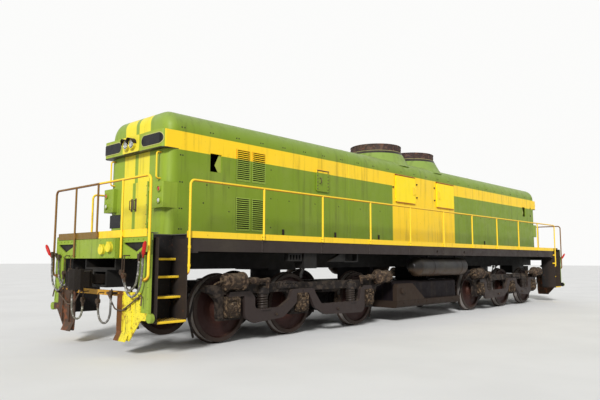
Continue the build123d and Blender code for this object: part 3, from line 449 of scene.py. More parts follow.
def hood_paint(tree, x, y, z):
    """Green, with yellow where the band, the panel or the stripes lie, and black inside the shell as painted
    shade.
    """
    aside, along = unsigned(tree, y), unsigned(tree, x)
    band = product(tree, between(tree, z, *BAND_Z), between(tree, aside, FLANK_Y, FAR))
    panel = product(tree, between(tree, x, *PANEL_X), between(tree, z, PANEL_FOOT, BAND_Z[1]))
    panel = product(tree, panel, between(tree, aside, FLANK_Y, FAR))
    stripes = product(tree, between(tree, aside, *STRIPE_Y), between(tree, along, STRIPES_FROM, FAR))
    # across the nose the green turns into the lighter end green: painted light
    end_lit = mixed(tree, ramped(tree, along, *END_LIGHT_RAMP), GREEN, LIT_END_GREEN)
    # towards the roof the green turns into the painted sky reflection
    green = mixed(tree, ramped(tree, z, *ROOF_SHEEN_RAMP), end_lit, SKY_SHEEN_GREEN)
    flank = mixed(tree, sums(tree, "MAXIMUM", band, panel), green, YELLOW)
    outside = mixed(tree, stripes, flank, STRIPE_YELLOW)
    # black within the shell is painted shade
    return mixed(tree, inside_hood(tree, aside, along, z), outside, SHADE_BLACK)


print("the panel is", round(PANEL_X[1] - PANEL_X[0], 3), "m long")

# %% [markdown]
# The smaller parts wear the same colours by masks of their own. The stripes go on over the
# housing of the number plates, whose underside is painted shade. The louvres' lips carry a painted
# highlight with painted shade in black between them, and the flank doors rust along their lower edge.

# %% Masks of the smaller parts
RED_LEAD = (0.42, 0.020, 0.006)
# a lighter copy of the hood's green for the louvres' lips: a painted highlight
LIP_HIGHLIGHT_GREEN = (0.290, 0.400, 0.060)
FLAP_GREEN = (0.32, 0.38, 0.06)
UNDERSIDE_SHADE = (0.035, 0.030, 0.016)
NOSE = 6.945
NOSE_CORNER = 0.045
HOUSING_SIDE = 0.838
HOUSING_Z = (2.902, 3.158)
LOUVRE_FACE = 0.857
# above this height the humps are black: a painted shadow under the fans' rims
RIM_SHADOW_Z = 3.690


def housing_paint(tree, x, y, z):
    """Lit end green, with yellow on the side faces, on the lamp panel and on the stripes' line on top, and
    painted shade on the underside.
    """
    aside, along = unsigned(tree, y), unsigned(tree, x)
    before_corner = between(tree, along, 0, NOSE - NOSE_CORNER)
    side = product(tree, between(tree, aside, HOUSING_SIDE, FAR), before_corner)
    panel = between(tree, along, NOSE + 0.002, FAR)
    top = product(tree, between(tree, aside, *STRIPE_Y), between(tree, z, HOUSING_Z[1], FAR))
    flank = mixed(tree, side, LIT_END_GREEN, YELLOW)
    front = mixed(tree, sums(tree, "MAXIMUM", panel, top), flank, STRIPE_YELLOW)
    # the housing's underside is painted shade
    below = ramped(tree, z, HOUSING_Z[0] + 0.001, HOUSING_Z[0] - 0.001)
    return mixed(tree, below, front, UNDERSIDE_SHADE)


def louvre_paint(tree, x, y, z):
    """A painted highlight of lighter green on the lips and yellow on the band's, black behind them as painted
    shade, red behind the band's, and the pale flap.
    """
    aside, along = unsigned(tree, y), unsigned(tree, x)
    band = between(tree, z, *BAND_Z)
    # black between the lips is painted shade; behind the band's lips the red lead shows
    deep = mixed(tree, band, SHADE_BLACK, RED_LEAD)
    face = mixed(tree, band, LIP_HIGHLIGHT_GREEN, YELLOW)
    slats = mixed(tree, ramped(tree, aside, LOUVRE_FACE - 0.001, LOUVRE_FACE + 0.001), deep, face)
    return mixed(tree, ramped(tree, along, 5.70, 5.72), slats, FLAP_GREEN)


def door_paint(tree, x, y, z):
    """Lemon yellow with a rusty lower edge."""
    return mixed(tree, ramped(tree, z, 2.556, 2.548), DOOR_YELLOW, (0.42, 0.075, 0.012))


def hump_paint(tree, x, y, z):
    """Green lightened by a painted reflection of the sky, with black under the fans' rims as a painted
    shadow.
    """
    return mixed(tree, ramped(tree, z, RIM_SHADOW_Z - 0.002, RIM_SHADOW_Z + 0.002), SKY_SHEEN_GREEN, SHADE_BLACK)


print("the housing is", round(HOUSING_Z[1] - HOUSING_Z[0], 3), "m high")

# %% [markdown]
# Each part of the hood gets its own amounts. The large panels chalk and run most, and have
# shallow dents. The flank doors are of a fresher yellow, so they are smoother and cleaner.

# %% Livery finishes
hood_finish = aged("hood_livery", hood_paint, 0.42, chalk=0.10, streaks=0.30, dust=0.10, chips=0.12,
                   dents=0.010)
housing_finish = aged("housing_livery", housing_paint, 0.42, chalk=0.08, streaks=0.2, dust=0.08)
green_finish = aged("old_green", hump_paint, 0.45, chalk=0.12, streaks=0.35, dust=0.18, rust=0.12,
                    dents=0.004)
# the marker boxes wear the lighter end green, a painted light
box_green = aged("marker_green", LIT_END_GREEN, 0.45, chalk=0.08, streaks=0.3, dust=0.12, rust=0.1)
louvre_finish = aged("louvre_livery", louvre_paint, 0.45, chalk=0.05, streaks=0.2, dust=0.05)
door_finish = aged("door_yellow", door_paint, 0.38, chalk=0.03, streaks=0.10, dust=0.05)
print("livery ready")

# %% [markdown]
# ## Rails, steps and the end plates
# Handrails wear through where hands and boots go, and their underside is orange-red.
# The steps have yellow edges on dark plates, and the steps' back and the end plate's recesses are black, a
# painted shade.
# Each is again a mask by place, so one finish serves a whole node.

# %% Paint of the walkway parts
# brown for one half of each end, standing for the shade on that side: painted shade
RAIL_SHADE_BROWN = (0.115, 0.040, 0.018)
STRIP_SHADE_BROWN = (0.090, 0.042, 0.016)
LOWER_FACE_RED = (0.42, 0.085, 0.018)
STEP_DARK = (0.030, 0.022, 0.018)
STEP_HEIGHTS = (1.298, 1.060, 0.793, 0.483)
STEP_X = (6.860, 7.300)


def rail_paint(tree, x, y, z):
    """Yellow, orange-red where the tube looks down, and brown as painted shade along one half of each end."""
    end = between(tree, unsigned(tree, x), 7.38, FAR)
    # the brown half of each end is painted shade
    chip_and_shade_mask = product(tree, end, ramped(tree, product(tree, x, y), 0.6, 0.2, 0.9))
    red_below = mixed(tree, ramped(tree, upward(tree), -0.15, -0.75, 0.85), RAIL_YELLOW, LOWER_FACE_RED)
    return mixed(tree, chip_and_shade_mask, red_below, RAIL_SHADE_BROWN)


def strip_paint(tree, x, y, z):
    """Yellow, and brown as painted shade along the same half of each end as the rail."""
    end = between(tree, unsigned(tree, x), 7.30, FAR)
    chip_and_shade_mask = product(tree, end, ramped(tree, product(tree, x, y), 0.3, 0.0, 0.9))
    return mixed(tree, chip_and_shade_mask, RAIL_YELLOW, STRIP_SHADE_BROWN)


def step_paint(tree, x, y, z):
    """Dark plates and a black back, the black a painted shade; yellow from each tread's foot to its top."""
    along = unsigned(tree, x)
    tread = between(tree, along, STEP_X[0] + 0.001, STEP_X[1] - 0.001, 0.001)
    out = between(tree, unsigned(tree, y), 1.03, FAR)
    yellow = None
    for height in STEP_HEIGHTS:
        level = between(tree, z, height - 0.035, height + 0.01)
        yellow = level if yellow is None else sums(tree, "MAXIMUM", yellow, level)
    yellow = product(tree, product(tree, yellow, tread), out)
    # the black of the inner plates and the back is painted shade
    plates = mixed(tree, ramped(tree, unsigned(tree, y), 1.05, 1.30), SHADE_BLACK, STEP_DARK)
    return mixed(tree, yellow, plates, RAIL_YELLOW)


print("the steps stand at", STEP_HEIGHTS)

# %% [markdown]
# The end plate is green, with black recesses as painted shade and a yellow beam between its uprights.
# The guard plates below it are yellow on one side of the coupler, orange-brown towards it, and brown on
# the other side, both painted shade, so that their mask asks for the sign of x times y.

# %% Paint of the end plates
BEAM_YELLOW = (0.50, 0.25, 0.02)
PILOT_SHADE_ORANGE = (0.120, 0.042, 0.005)
PILOT_SHADE_BROWN = (0.050, 0.026, 0.014)
HEADSTOCK_FACE = 7.420
RECESS_Z = (1.34, 1.53)
BEAM_Z = (0.770, 0.858)
BEAM_HALF = 1.118


def headstock_paint(tree, x, y, z):
    """Lit end green, black as painted shade on the recesses' floor and the back, and a yellow beam between
    the uprights.
    """
    deep = between(tree, unsigned(tree, x), 7.387, HEADSTOCK_FACE - 0.020, 0.001)
    hole = product(tree, deep, between(tree, z, *RECESS_Z))
    back = between(tree, unsigned(tree, x), 0, 7.383, 0.001)
    across = between(tree, unsigned(tree, y), -FAR, BEAM_HALF)
    beam = product(tree, between(tree, z, *BEAM_Z), across)
    front = mixed(tree, beam, LIT_END_GREEN, BEAM_YELLOW)
    # black on the recesses' floor and the back is painted shade
    return mixed(tree, sums(tree, "MAXIMUM", hole, back), front, SHADE_BLACK)


def pilot_paint(tree, x, y, z):
    """Yellow on the left plates, with painted shade in orange-brown towards the coupler and in brown on the
    right ones.
    """
    inner = ramped(tree, unsigned(tree, y), 0.80, 0.76)
    left = mixed(tree, inner, STRIPE_YELLOW, PILOT_SHADE_ORANGE)
    # the orange-brown and the brown are painted shade on the yellow plates
    return mixed(tree, ramped(tree, product(tree, x, y), 0.3, -0.3), left, PILOT_SHADE_BROWN)


def jumper_paint(tree, x, y, z):
    """A green box whose sockets are yellow."""
    socket = between(tree, unsigned(tree, x), 7.5165, FAR, 0.001)
    return mixed(tree, socket, LIT_END_GREEN, STRIPE_YELLOW)


print("the end plate's face is at", HEADSTOCK_FACE)

# %% [markdown]
# Where feet tread, paint chips off down to the dark primer. The guard plates hang low and
# take most of the dirt, and the deck holds dust, because it lies flat.

# %% Walkway finishes
rail_finish = aged("rail_yellow", rail_paint, 0.45, chalk=0.05, streaks=0.1, dust=0.06, rust=0.10,
                   chips=0.35)
strip_finish = aged("toe_yellow", strip_paint, 0.42, chalk=0.04, streaks=0.25, dust=0.08, chips=0.2)
step_finish = aged("step_paint", step_paint, 0.6, streaks=0.35, dust=0.15, rust=0.35, chips=0.6)
headstock_finish = aged("headstock_green", headstock_paint, 0.5, chalk=0.1, streaks=0.4, dust=0.15,
                        rust=0.15, chips=0.3)
pilot_finish = aged("pilot_paint", pilot_paint, 0.55, streaks=0.9, dust=0.25, rust=0.8,
                    chips=0.8, dents=0.004)
jumper_finish = aged("jumper_paint", jumper_paint, 0.5, chalk=0.05, streaks=0.45, dust=0.15, rust=0.3,
                     chips=0.3)
deck_finish = aged("deck_grey", (0.085, 0.083, 0.070), 0.7, chalk=0.05, streaks=0.1, dust=0.5, rust=0.3,
                   pits=0.002)
print("walkway paint ready")

# %% [markdown]
# ## Iron below the platform
# Below the deck everything was once black. Road dust, oil and brake dust turned it brown, and
# thick grime sits on the journal boxes and cylinders. The tank's wedge is paler, and the
# reservoir's lower third is rusty. Their masks use height again.

# %% Iron masks
SILL_BLACK = (0.012, 0.010, 0.010)
SILL_GREY = (0.030, 0.022, 0.020)
AXLE_Z = 0.536


def sill_paint(tree, x, y, z):
    """Dark grey outside on the side sills, near black inside."""
    return mixed(tree, ramped(tree, unsigned(tree, y), 1.30, 1.36), SILL_BLACK, SILL_GREY)


def tank_paint(tree, x, y, z):
    """Black faces, a browner skirt, and a grey-brown wedge panel on both sides."""
    out = unsigned(tree, y)
    wedge = product(tree, between(tree, out, 1.10, FAR), between(tree, z, 0.452, FAR))
    skirt = ramped(tree, z, 0.46, 0.44)
    dark = mixed(tree, skirt, (0.007, 0.005, 0.006), (0.028, 0.019, 0.014))
    return mixed(tree, wedge, dark, (0.034, 0.023, 0.017))


def drum_paint(tree, x, y, z):
    """Dark steel, rusty brown on the lower third."""
    return mixed(tree, ramped(tree, z, 1.15, 0.99), (0.009, 0.008, 0.009), (0.060, 0.036, 0.022))


def greasy(dark, pale, cells):
    """Dark grease with paler dried lumps, by noise of so many cells a metre."""
    def paint(tree, x, y, z):
        return mixed(tree, ramped(tree, speckle(tree, metres(tree), cells, 6, 0.62), 0.47, 0.64), dark, pale)
    return paint


def wheel_paint(hub_x):
    """Rusty brown by the hub, dark on the plate, bright where the tread rolls."""
    def paint(tree, x, y, z):
        away = distance(tree, sums(tree, "SUBTRACT", x, hub_x), sums(tree, "SUBTRACT", z, AXLE_Z))
        plate = mixed(tree, ramped(tree, away, 0.12, 0.32), (0.060, 0.021, 0.014), (0.030, 0.011, 0.009))
        rim = mixed(tree, ramped(tree, away, 0.43, 0.46), plate, (0.034, 0.022, 0.017))
        treads = between(tree, unsigned(tree, y), 0.715, 0.79, 0.006)
        tread = product(tree, between(tree, away, 0.500, 0.512, 0.001), treads)
        return mixed(tree, tread, rim, (0.30, 0.27, 0.25))
    return paint


print("the axles stand", AXLE_Z, "m above the floor")

# %% [markdown]
# Thick grime has a surface of its own, which a bump of soft lumps gives more cheaply than a
# shape. The castings get the most, the steel drums and the motors the least.

# %% Iron finishes
sill_finish = aged("sill_grey", sill_paint, 0.6, chalk=0.02, streaks=0.25, dust=0.12, rust=0.10, dents=0.003)
black_finish = aged("frame_black", (0.010, 0.009, 0.008), 0.65, streaks=0.2, dust=0.15, rust=0.08)
tank_finish = aged("tank_black", tank_paint, 0.55, streaks=0.35, dust=0.02, rust=0.04,
                   dents=0.004, specular=0.08)
drum_finish = aged("drum_steel", drum_paint, 0.38, chalk=0.02, streaks=0.4, dust=0.08, rust=0.08)
frame_finish = aged("bogie_grime", greasy((0.012, 0.009, 0.008), (0.050, 0.037, 0.028), 12), 0.72,
                    streaks=0.5, dust=0.36, rust=0.2, pits=0.0012, lumps=0.004)
beam_finish = aged("equalizer_grey", (0.030, 0.021, 0.019), 0.55, streaks=0.2, dust=0.22,
                   rust=0.08, lumps=0.002)
box_finish = aged("box_grime", greasy((0.022, 0.014, 0.009), (0.150, 0.100, 0.058), 19), 0.78,
                  streaks=0.9, dust=0.4, rust=0.2, pits=0.002, lumps=0.009)
brake_finish = aged("brake_rust", greasy((0.026, 0.016, 0.011), (0.130, 0.085, 0.052), 16), 0.75,
                    streaks=0.8, dust=0.45, rust=0.3, pits=0.0015, lumps=0.006)
motor_finish = aged("motor_black", (0.007, 0.006, 0.006), 0.6, streaks=0.1, dust=0.15, rust=0.05)
rim_finish = aged("rim_rust", greasy((0.040, 0.024, 0.022), (0.110, 0.060, 0.045), 14), 0.7,
                  chalk=0.04, streaks=0.4, dust=0.25, rust=0.45, pits=0.0015)
fan_finish = aged("fan_metal", (0.06, 0.055, 0.05), 0.5, metal=0.4, chalk=0.02, streaks=0.1, dust=0.3,
                  rust=0.25)
# the near-black base is painted shade of the coupler's deep shade; the rust patches are rust
coupler_finish = aged("coupler_shade_and_rust", (0.009, 0.006, 0.004), 0.7, streaks=0.5, dust=0.07,
                      rust=0.25, pits=0.0015, lumps=0.004)
print("iron ready")

# %% [markdown]
# ## Each node gets its finish
# The carried-over nodes keep their shapes, and only the material in their slots changes.
# The wheelsets need one finish each, because their shine is a ring about their own axle.

# %% Dress the nodes
NODE_FINISH = {
    hood_finish: ("hood_front", "hood_centre", "hood_rear", "cover_left", "cover_right",
                  "end_door_front_left", "end_door_front_right", "end_door_rear_left", "end_door_rear_right"),
    housing_finish: ("number_boxes",),
    louvre_finish: ("louvres",),
    green_finish: ("roof_hatch",),
    box_green: ("marker_boxes",),
    door_finish: ("side_door_left_front", "side_door_left_rear", "side_door_right_front",
                  "side_door_right_rear"),
    rail_finish: ("side_rails", "end_rails", "grab_irons"),
    strip_finish: ("toe_strips",),
    step_finish: ("step_wells",),
    headstock_finish: ("headstocks",),
    pilot_finish: ("pilots",),
    jumper_finish: ("jumper_boxes",),
    deck_finish: ("deck_plate",),
    sill_finish: ("underframe",),
    black_finish: ("centre_sill", "engine_block", "underfloor_gear"),
    tank_finish: ("fuel_tank",),
    drum_finish: ("air_reservoirs",),
    frame_finish: ("bogie_front_frame", "bogie_rear_frame"),
    beam_finish: ("bogie_front_equalizers", "bogie_rear_equalizers"),
    box_finish: ("bogie_front_journal_boxes", "bogie_rear_journal_boxes"),
    brake_finish: ("bogie_front_brakes", "bogie_rear_brakes"),
    motor_finish: ("bogie_front_motors", "bogie_rear_motors"),
    rim_finish: ("fan_rims",),
    fan_finish: ("fan_1", "fan_2"),
    coupler_finish: ("coupler_front", "coupler_rear"),
}


def dress(node, material):
    """The material in every slot of a node, and in a new slot where it has none."""
    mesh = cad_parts[node].data
    for i in range(len(mesh.materials)):
        mesh.materials[i] = material
    if not mesh.materials:
        mesh.materials.append(material)


for material, nodes in NODE_FINISH.items():
    for node in nodes:
        dress(node, material)
ENDS = (("front", 1), ("rear", -1))
AXLES = (1.702, 0.178, -1.702)
PIVOT = 4.104
for end_name, end in ENDS:
    for i, axle in enumerate(AXLES):
        name = f"wheelset_{end_name}_{i + 1}"
        dress(name, aged(name + "_iron", wheel_paint(end * (PIVOT + axle)), 0.55, metal=0.2,
                         streaks=0.2, dust=0.12, rust=0.3))
print("dressed", sum(len(n) for n in NODE_FINISH.values()) + 2 * len(AXLES), "nodes")

# %% [markdown]
# ## Coil springs
# The frame rests on coil springs above the drop equalizers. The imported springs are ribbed
# cylinders, which is enough for collision but looks solid. A real spring is one bar wound
# as a helix, with its ends closed and ground flat, and a thinner one wound the other way inside.

# %% Helices for the springs
SPRING_X = (1.051, -1.195)
SPRING_Y = 1.060
SPRING_Z = (0.515, 0.740)
END_TURNS = 0.7
spring_steel = aged("spring_steel", (0.026, 0.019, 0.016), 0.5, metal=0.2, streaks=0.2,
                    dust=0.2, rust=0.2)


def helix(place, radius, wire, turns, hand):
    """x = R cos a, y = R sin a; the height stands still for the first and last END_TURNS."""
    t = np.linspace(0, 1, int(turns * 28) + 1)
    a = hand * 2 * np.pi * turns * t
    low, high = SPRING_Z[0] + wire, SPRING_Z[1] - wire
    climb = np.clip((turns * t - END_TURNS) / (turns - 2 * END_TURNS), 0, 1)
    x, y = place[0] + radius * np.cos(a), place[1] + radius * np.sin(a)
    path = np.stack([x, y, low + (high - low) * climb], -1)
    return carried(path, round_section(wire, 9), (0, 0, 1))


for end_name, end in ENDS:
    coils = []
    for x in SPRING_X:
        for side in (1, -1):
            spot = (end * (PIVOT + x), side * SPRING_Y)
            coils += [helix(spot, 0.071, 0.0165, 6.4, 1), helix(spot, 0.036, 0.009, 10.4, -1)]
    springs = piece(f"springs_{end_name}", coils, f"bogie_{end_name}", spring_steel)
    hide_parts(f"bogie_{end_name}_springs")

# %% [markdown]
# ## Air hoses
# Three hoses hang at each corner of the platform's ends. A hose is rubber over braid, so it
# keeps to wide bends: down from its cock, across, and up to its stowed head. The route's
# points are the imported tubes' own points, in metres, and one smooth line of order 3 runs by
# them. The order and the end rule are set after the points, because before they wouldn't hold.

# %% Hang the hoses
HOSE_RADIUS = 0.015
# x, real length, length of the cock's lever, then y and z of the route's points from cock to head
HOSES = (
    (7.500, 0.970, 0.19, ((1.345, 1.330), (1.345, 1.120), (1.290, 0.890), (1.115, 0.775), (0.950, 0.850),
                          (0.905, 1.010))),
    (7.462, 0.798, 0.09, ((1.190, 1.290), (1.190, 1.120), (1.125, 0.930), (0.985, 0.862), (0.845, 0.915),
                          (0.790, 1.050))),
    (7.505, 0.814, 0.09, ((0.580, 0.795), (0.580, 0.660), (0.572, 0.515), (0.475, 0.410), (0.332, 0.412),
                          (0.232, 0.515), (0.228, 0.640))),
)
CORNER_NAMES = ("front_left", "front_right", "rear_left", "rear_right")


def hose_rubber_paint(tree, x, y, z):
    """Grey rubber with pale scuffs."""
    scuffs = ramped(tree, speckle(tree, metres(tree), 30, 4), 0.5, 0.65)
    return mixed(tree, scuffs, (0.10, 0.095, 0.09), (0.40, 0.38, 0.36))


hose_rubber = aged("hose_rubber", hose_rubber_paint, 0.7, chalk=0.2, streaks=0.3, dust=0.3)


def hose_curve(name, route):
    """A round NURBS cord by its control points."""
    data = bpy.data.curves.new(name, "CURVE")
    data.dimensions = "3D"
    line = data.splines.new("NURBS")
    line.points.add(len(route) - 1)
    line.points.foreach_set("co", np.column_stack([route, np.ones(len(route))]).ravel())
    line.order_u = 3
    line.use_endpoint_u = True
    line.resolution_u = 12
    data.bevel_depth = HOSE_RADIUS
    data.bevel_resolution = 3
    data.use_fill_caps = True
    data.materials.append(hose_rubber)
    thing = bpy.data.objects.new(name, data)
    bpy.context.scene.collection.objects.link(thing)
    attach(thing, "carbody")
    return thing


print("one hose has", len(HOSES[0][3]), "route points")

# %% [markdown]
# ## Cocks, clips and heads
# The imported fittings are plain bars. Each gets the details that tell what it is: a lever on
# the cock, a clip round the hose at both ends, and a lip and a stop on the coupling drum.
# Each hose has its own head, a piece named after the hose.

# %% Hose fittings
CLIP_AWAY = 0.020
HEAD_AWAY = 0.058
cock_iron = aged("cock_iron", (0.055, 0.035, 0.022), 0.6, metal=0.2, streaks=0.4, dust=0.25,
                 rust=0.5)
cock_red = aged("cock_red", (0.50, 0.016, 0.012), 0.45, chalk=0.03, streaks=0.2, dust=0.1, chips=0.3)
dress("hose_fittings", cock_iron)


def clip(place, way):
    """A band with a raised edge, turned round the hose."""
    inner, flat, edge = 0.0145, 0.0175, 0.0195
    band = turned([(inner, -0.016), (edge, -0.016), (edge, -0.011), (flat, -0.008), (flat, 0.008),
                   (edge, 0.011), (edge, 0.016), (inner, 0.016)], 14)
    return copies(band, place, way)


def lever(x, y, z, long):
    """A bent handle from the cock's top; its grip swells to 14% of its length and narrows again."""
    bends = [(x, y, z - 0.030), (x + 0.016, y + 0.030, z - 0.010), (x + 0.024, y + 0.046, z + 0.024)]
    path = cushioned(bends, 0.02)
    grip = turned(long * np.array([(0.06, 0), (0.11, 0.08), (0.14, 0.45), (0.13, 0.80), (0.07, 1.0)]), 12)
    return [carried(path, round_section(0.008, 8), (1, 0.2, 0)), copies(grip, path[-2], (0.16, 0.46, 0.87))]


def coupling_trim(route, up):
    """A lip on the coupling drum's face, and a stop beside it."""
    x, y, z = route[-1] + HEAD_AWAY * up
    profile = ((0.020, 0.0), (0.037, 0.0), (0.037, 0.006), (0.032, 0.009), (0.022, 0.009), (0.020, 0.004))
    lip = turned(profile, 18)
    stop = slab((x - 0.012, x + 0.012), (y - 0.052, y - 0.030), (z - 0.014, z + 0.014), 0.003)
    return [copies(lip, (x + 0.019, y, z), (1, 0, 0)), stop]


clips, levers = [], []
for i, (x, length, handle, bends) in enumerate(HOSES):
    route = np.array([(x, y, z) for y, z in bends])
    up = (route[-1] - route[-2]) / np.linalg.norm(route[-1] - route[-2])
    clips += [clip(route[0] - (0, 0, CLIP_AWAY), (0, 0, 1)), clip(route[-1] - CLIP_AWAY * up, up)]
    levers.append(lever(*route[0], handle))
    for corner, sign in zip(CORNER_NAMES, ALL_CORNERS):
        name = f"hose_{corner}_{i + 1}"
        head = fixed(name + "_head", coupling_trim(route, up), (sign,), cock_iron)
        hose = hose_curve(name, route * sign)
        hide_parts("brake_hoses")
fixed("hose_clips", clips, ALL_CORNERS, cock_iron)
fixed("red_levers", levers[0], ALL_CORNERS, cock_red)
fixed("iron_levers", levers[1] + levers[2], ALL_CORNERS, cock_iron)

# %% [markdown]
# ## Bolts, rivets and seams
# Small fasteners give the eye the real scale. A hexagon bolt is a six-sided turned shape on
# a round washer, and a rivet is a low dome. Each has only a few dozen faces, because there
# are hundreds of them, and they are placed in rows and circles by arrays.

# %% Fasteners
def bolt(size):
    """A washer and a six-sided head with a chamfered top; size is the washer's radius."""
    washer = turned([(size, -0.001), (size, 0.14 * size), (0.9 * size, 0.2 * size)], 10)
    head = turned([(0.72 * size, 0.18 * size), (0.72 * size, 0.72 * size), (0.56 * size, 0.86 * size)], 6)
    return joined([washer, head])


def rivet(size):
    """A dome: radius times cosine, height 0.6 times radius times sine, from foot to crown."""
    a = np.linspace(0, 1.35, 4)
    return turned(np.stack([size * np.cos(a), 0.6 * size * np.sin(a) - 0.0005], -1), 8)


def row(first, last, count):
    """Points evenly spaced from the first to the last."""
    return np.linspace(first, last, count)


def circle(centre, radius, count, axis, phase=0.0):
    """Points round a centre, in the plane square to an axis."""
    t = phase + np.arange(count) * 2 * np.pi / count
    flat = np.stack([radius * np.cos(t), radius * np.sin(t), np.zeros(count)], -1)
    return np.asarray(centre) + flat @ facing(axis).T


OUT = (0, 1, 0)
AHEAD = (1, 0, 0)
print("a bolt has", int((bolt(1)[2] - 2).sum()), "triangles, a rivet", int((rivet(1)[2] - 2).sum()))

# %% [markdown]
# The hood's panels are bolted along the shoulder in pairs, and down the corner joints. The
# joints between the hood's three lengths are covered by thin straps that follow the roof's
# outline. A strap is the upper half of an ellipse, laid along the outline's own normal.

# %% Hood fasteners and straps
dark_iron = aged("dark_iron", (0.020, 0.014, 0.011), 0.6, streaks=0.2, dust=0.15, rust=0.25)
HOOD_SIDE = 0.850
HOOD_TOP = 3.498
HOOD_FOOT = 1.628
SHOULDER = 0.300
JOINTS = (2.650, -2.750)
# x and z of a row's first rivet, x and z of its last, and how many there are
MID_ROWS = ((6.14, 2.410, 5.710, 2.410, 2), (6.20, 2.130, 5.70, 2.03, 2), (4.79, 2.800, 4.79, 1.820, 3),
            (4.35, 2.300, 1.62, 2.30, 5), (-1.95, 2.41, -6.20, 2.41, 9))


def flank_row(x0, z0, x1, z1, count, y=HOOD_SIDE):
    """A row along the hood's side."""
    return row((x0, y, z0), (x1, y, z1), count)


pairs = np.concatenate([flank_row(6.59 + d, 3.228, -6.59 + d, 3.228, 26, HOOD_SIDE - 0.002)
                        for d in (-0.025, 0.025)])
corners = [(end * (6.61 + d), HOOD_SIDE, z)
           for end in (1, -1) for z in (2.81, 2.41, 2.02, 1.72) for d in (-0.02, 0.02)]
mids = np.concatenate([flank_row(*line) for line in MID_ROWS])
studs = [copies(rivet(0.012), spots, OUT) for spots in (pairs, corners, mids)]
fixed("hood_fasteners", studs, BOTH_SIDES, dark_iron)
feet = [copies(bolt(0.014), flank_row(6.5, 1.655, -6.5, 1.655, 34), OUT)]
fixed("hood_foot_bolts", feet, BOTH_SIDES, hood_finish)


def strap(x, width, height, count=14):
    """Rings of a half ellipse up one side, round both shoulders by sine and cosine, and down."""
    a = np.linspace(0, np.pi / 2, count)
    normal = np.stack([np.cos(a), np.sin(a)], -1)
    arc = np.array((HOOD_SIDE - SHOULDER, HOOD_TOP - SHOULDER)) + SHOULDER * normal
    half = np.concatenate([[(HOOD_SIDE, HOOD_FOOT + 0.01)], arc])
    out = np.concatenate([[(1, 0)], normal])
    path = np.concatenate([half, half[::-1] * (-1, 1)])
    out = np.concatenate([out, out[::-1] * (-1, 1)])
    b = np.linspace(0, np.pi, 7)
    along, lift = width / 2 * np.cos(b), height * np.sin(b) - 0.002
    rings = np.empty((len(path), len(b), 3))
    rings[..., 0] = x + along[None]
    rings[..., 1:] = path[:, None] + out[:, None] * lift[None, :, None]
    return skin(rings)


seams = [strap(x, 0.050, 0.006) for x in JOINTS]
seams += [strap(x, 0.018, 0.003) for x in (4.66, -4.66, 6.62, -6.62)]
piece("hood_seams", seams, "carbody", hood_finish)

# %% [markdown]
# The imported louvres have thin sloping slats. Pressed slats end in an upright lip, which is
# what catches the light, so each slat gets one along its outer edge.

# %% Louvre lips
LOUVRES = (((5.268, 5.563), (2.540, 3.057)), ((4.927, 5.225), (2.540, 3.057)),
           ((5.268, 5.563), (1.739, 2.271)), ((4.927, 5.225), (1.739, 2.271)))
BORDER = 0.014
SLATS = 15


def louvre_lips(x, z):
    """A folded strip at each slat's outer edge: foot + 4 mm + i times the pitch."""
    pitch = (z[1] - z[0] - 2 * BORDER) / SLATS
    section = ((0.855, -0.001), (0.861, -0.004), (0.864, 0.000), (0.863, 0.010), (0.858, 0.012))
    strip = skin([[(along, y, h) for y, h in section] for along in (x[0] + BORDER, x[1] - BORDER)])
    return copies(strip, [(0, 0, z[0] + BORDER + 0.004 + i * pitch) for i in range(SLATS)])


lips = [louvre_lips(x, z) for x, z in LOUVRES]
fixed("louvre_lips", lips, BOTH_SIDES, louvre_finish)

# %% [markdown]
# ## Fan rims
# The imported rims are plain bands. These have what the photograph shows from below: a lower
# band, rusty and spotted, over a thin pale flange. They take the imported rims' place, with the
# two bars and the bridge that carry the bearing.

# %% Rims over the fans
FANS_X = (0.570, -0.900)
BAND_RADIUS = 0.588
BAND_PROFILE = ((0.503, 3.7465), (0.592, 3.7465), (0.592, 3.760), (BAND_RADIUS, 3.764), (BAND_RADIUS, 3.888),
                (0.594, 3.891), (0.594, 3.903), (BAND_RADIUS, 3.908), (0.512, 3.908), (0.503, 3.900))
FLANGE_PROFILE = ((0.560, 3.744), (0.600, 3.744), (0.603, 3.748), (0.603, 3.754), (0.600, 3.758),
                  (0.560, 3.758))
pale_edge = aged("pale_edge", (0.30, 0.27, 0.12), 0.6, chalk=0.1, streaks=0.4, dust=0.2, rust=0.3)
rims, edges = [], []
for x in FANS_X:
    rims.append(copies(turned(BAND_PROFILE, 72, loop=True), (x, 0, 0)))
    edges.append(copies(turned(FLANGE_PROFILE, 72, loop=True), (x, 0, 0)))
    rims += [slab((x - 0.500, x + 0.500), (y - 0.015, y + 0.015), (3.762, 3.782)) for y in (-0.150, 0.150)]
    rims.append(slab((x - 0.025, x + 0.025), (-0.145, 0.145), (3.761, 3.781)))
    for a in np.arange(20) * 2 * np.pi / 20:
        way = np.array((math.cos(a), math.sin(a), 0))
        rims.append(copies(rivet(0.012), BAND_RADIUS * way + (x, 0, 3.840), way))
rim_piece = piece("fan_rim_bands", rims, "carbody", rim_finish)
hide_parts("fan_rims")
piece("fan_rim_flanges", edges, "carbody", pale_edge)

# %% [markdown]
# Over each door a rain strip turns water aside. Catches hold the doors, and small brackets
# stand at the hood's foot. They are bent and cut from plate, so each is a slab with its
# edges cut off, or a small angle section carried along a line.

# %% Rain strips, catches and brackets
STRIP_SECTION = ((0, 0), (0.034, -0.004), (0.038, 0.002), (0.030, 0.010), (0.006, 0.024), (0, 0.024))
strip_red = aged("strip_red", (0.25, 0.030, 0.012), 0.6, streaks=0.3, dust=0.1, rust=0.4)


def rain_strip(x0, x1, z):
    """An angle section whose lip hangs out and down, from x0 to x1."""
    return skin([[(x, HOOD_SIDE - 0.001 + a, z + b) for a, b in STRIP_SECTION] for x in (x0, x1)])


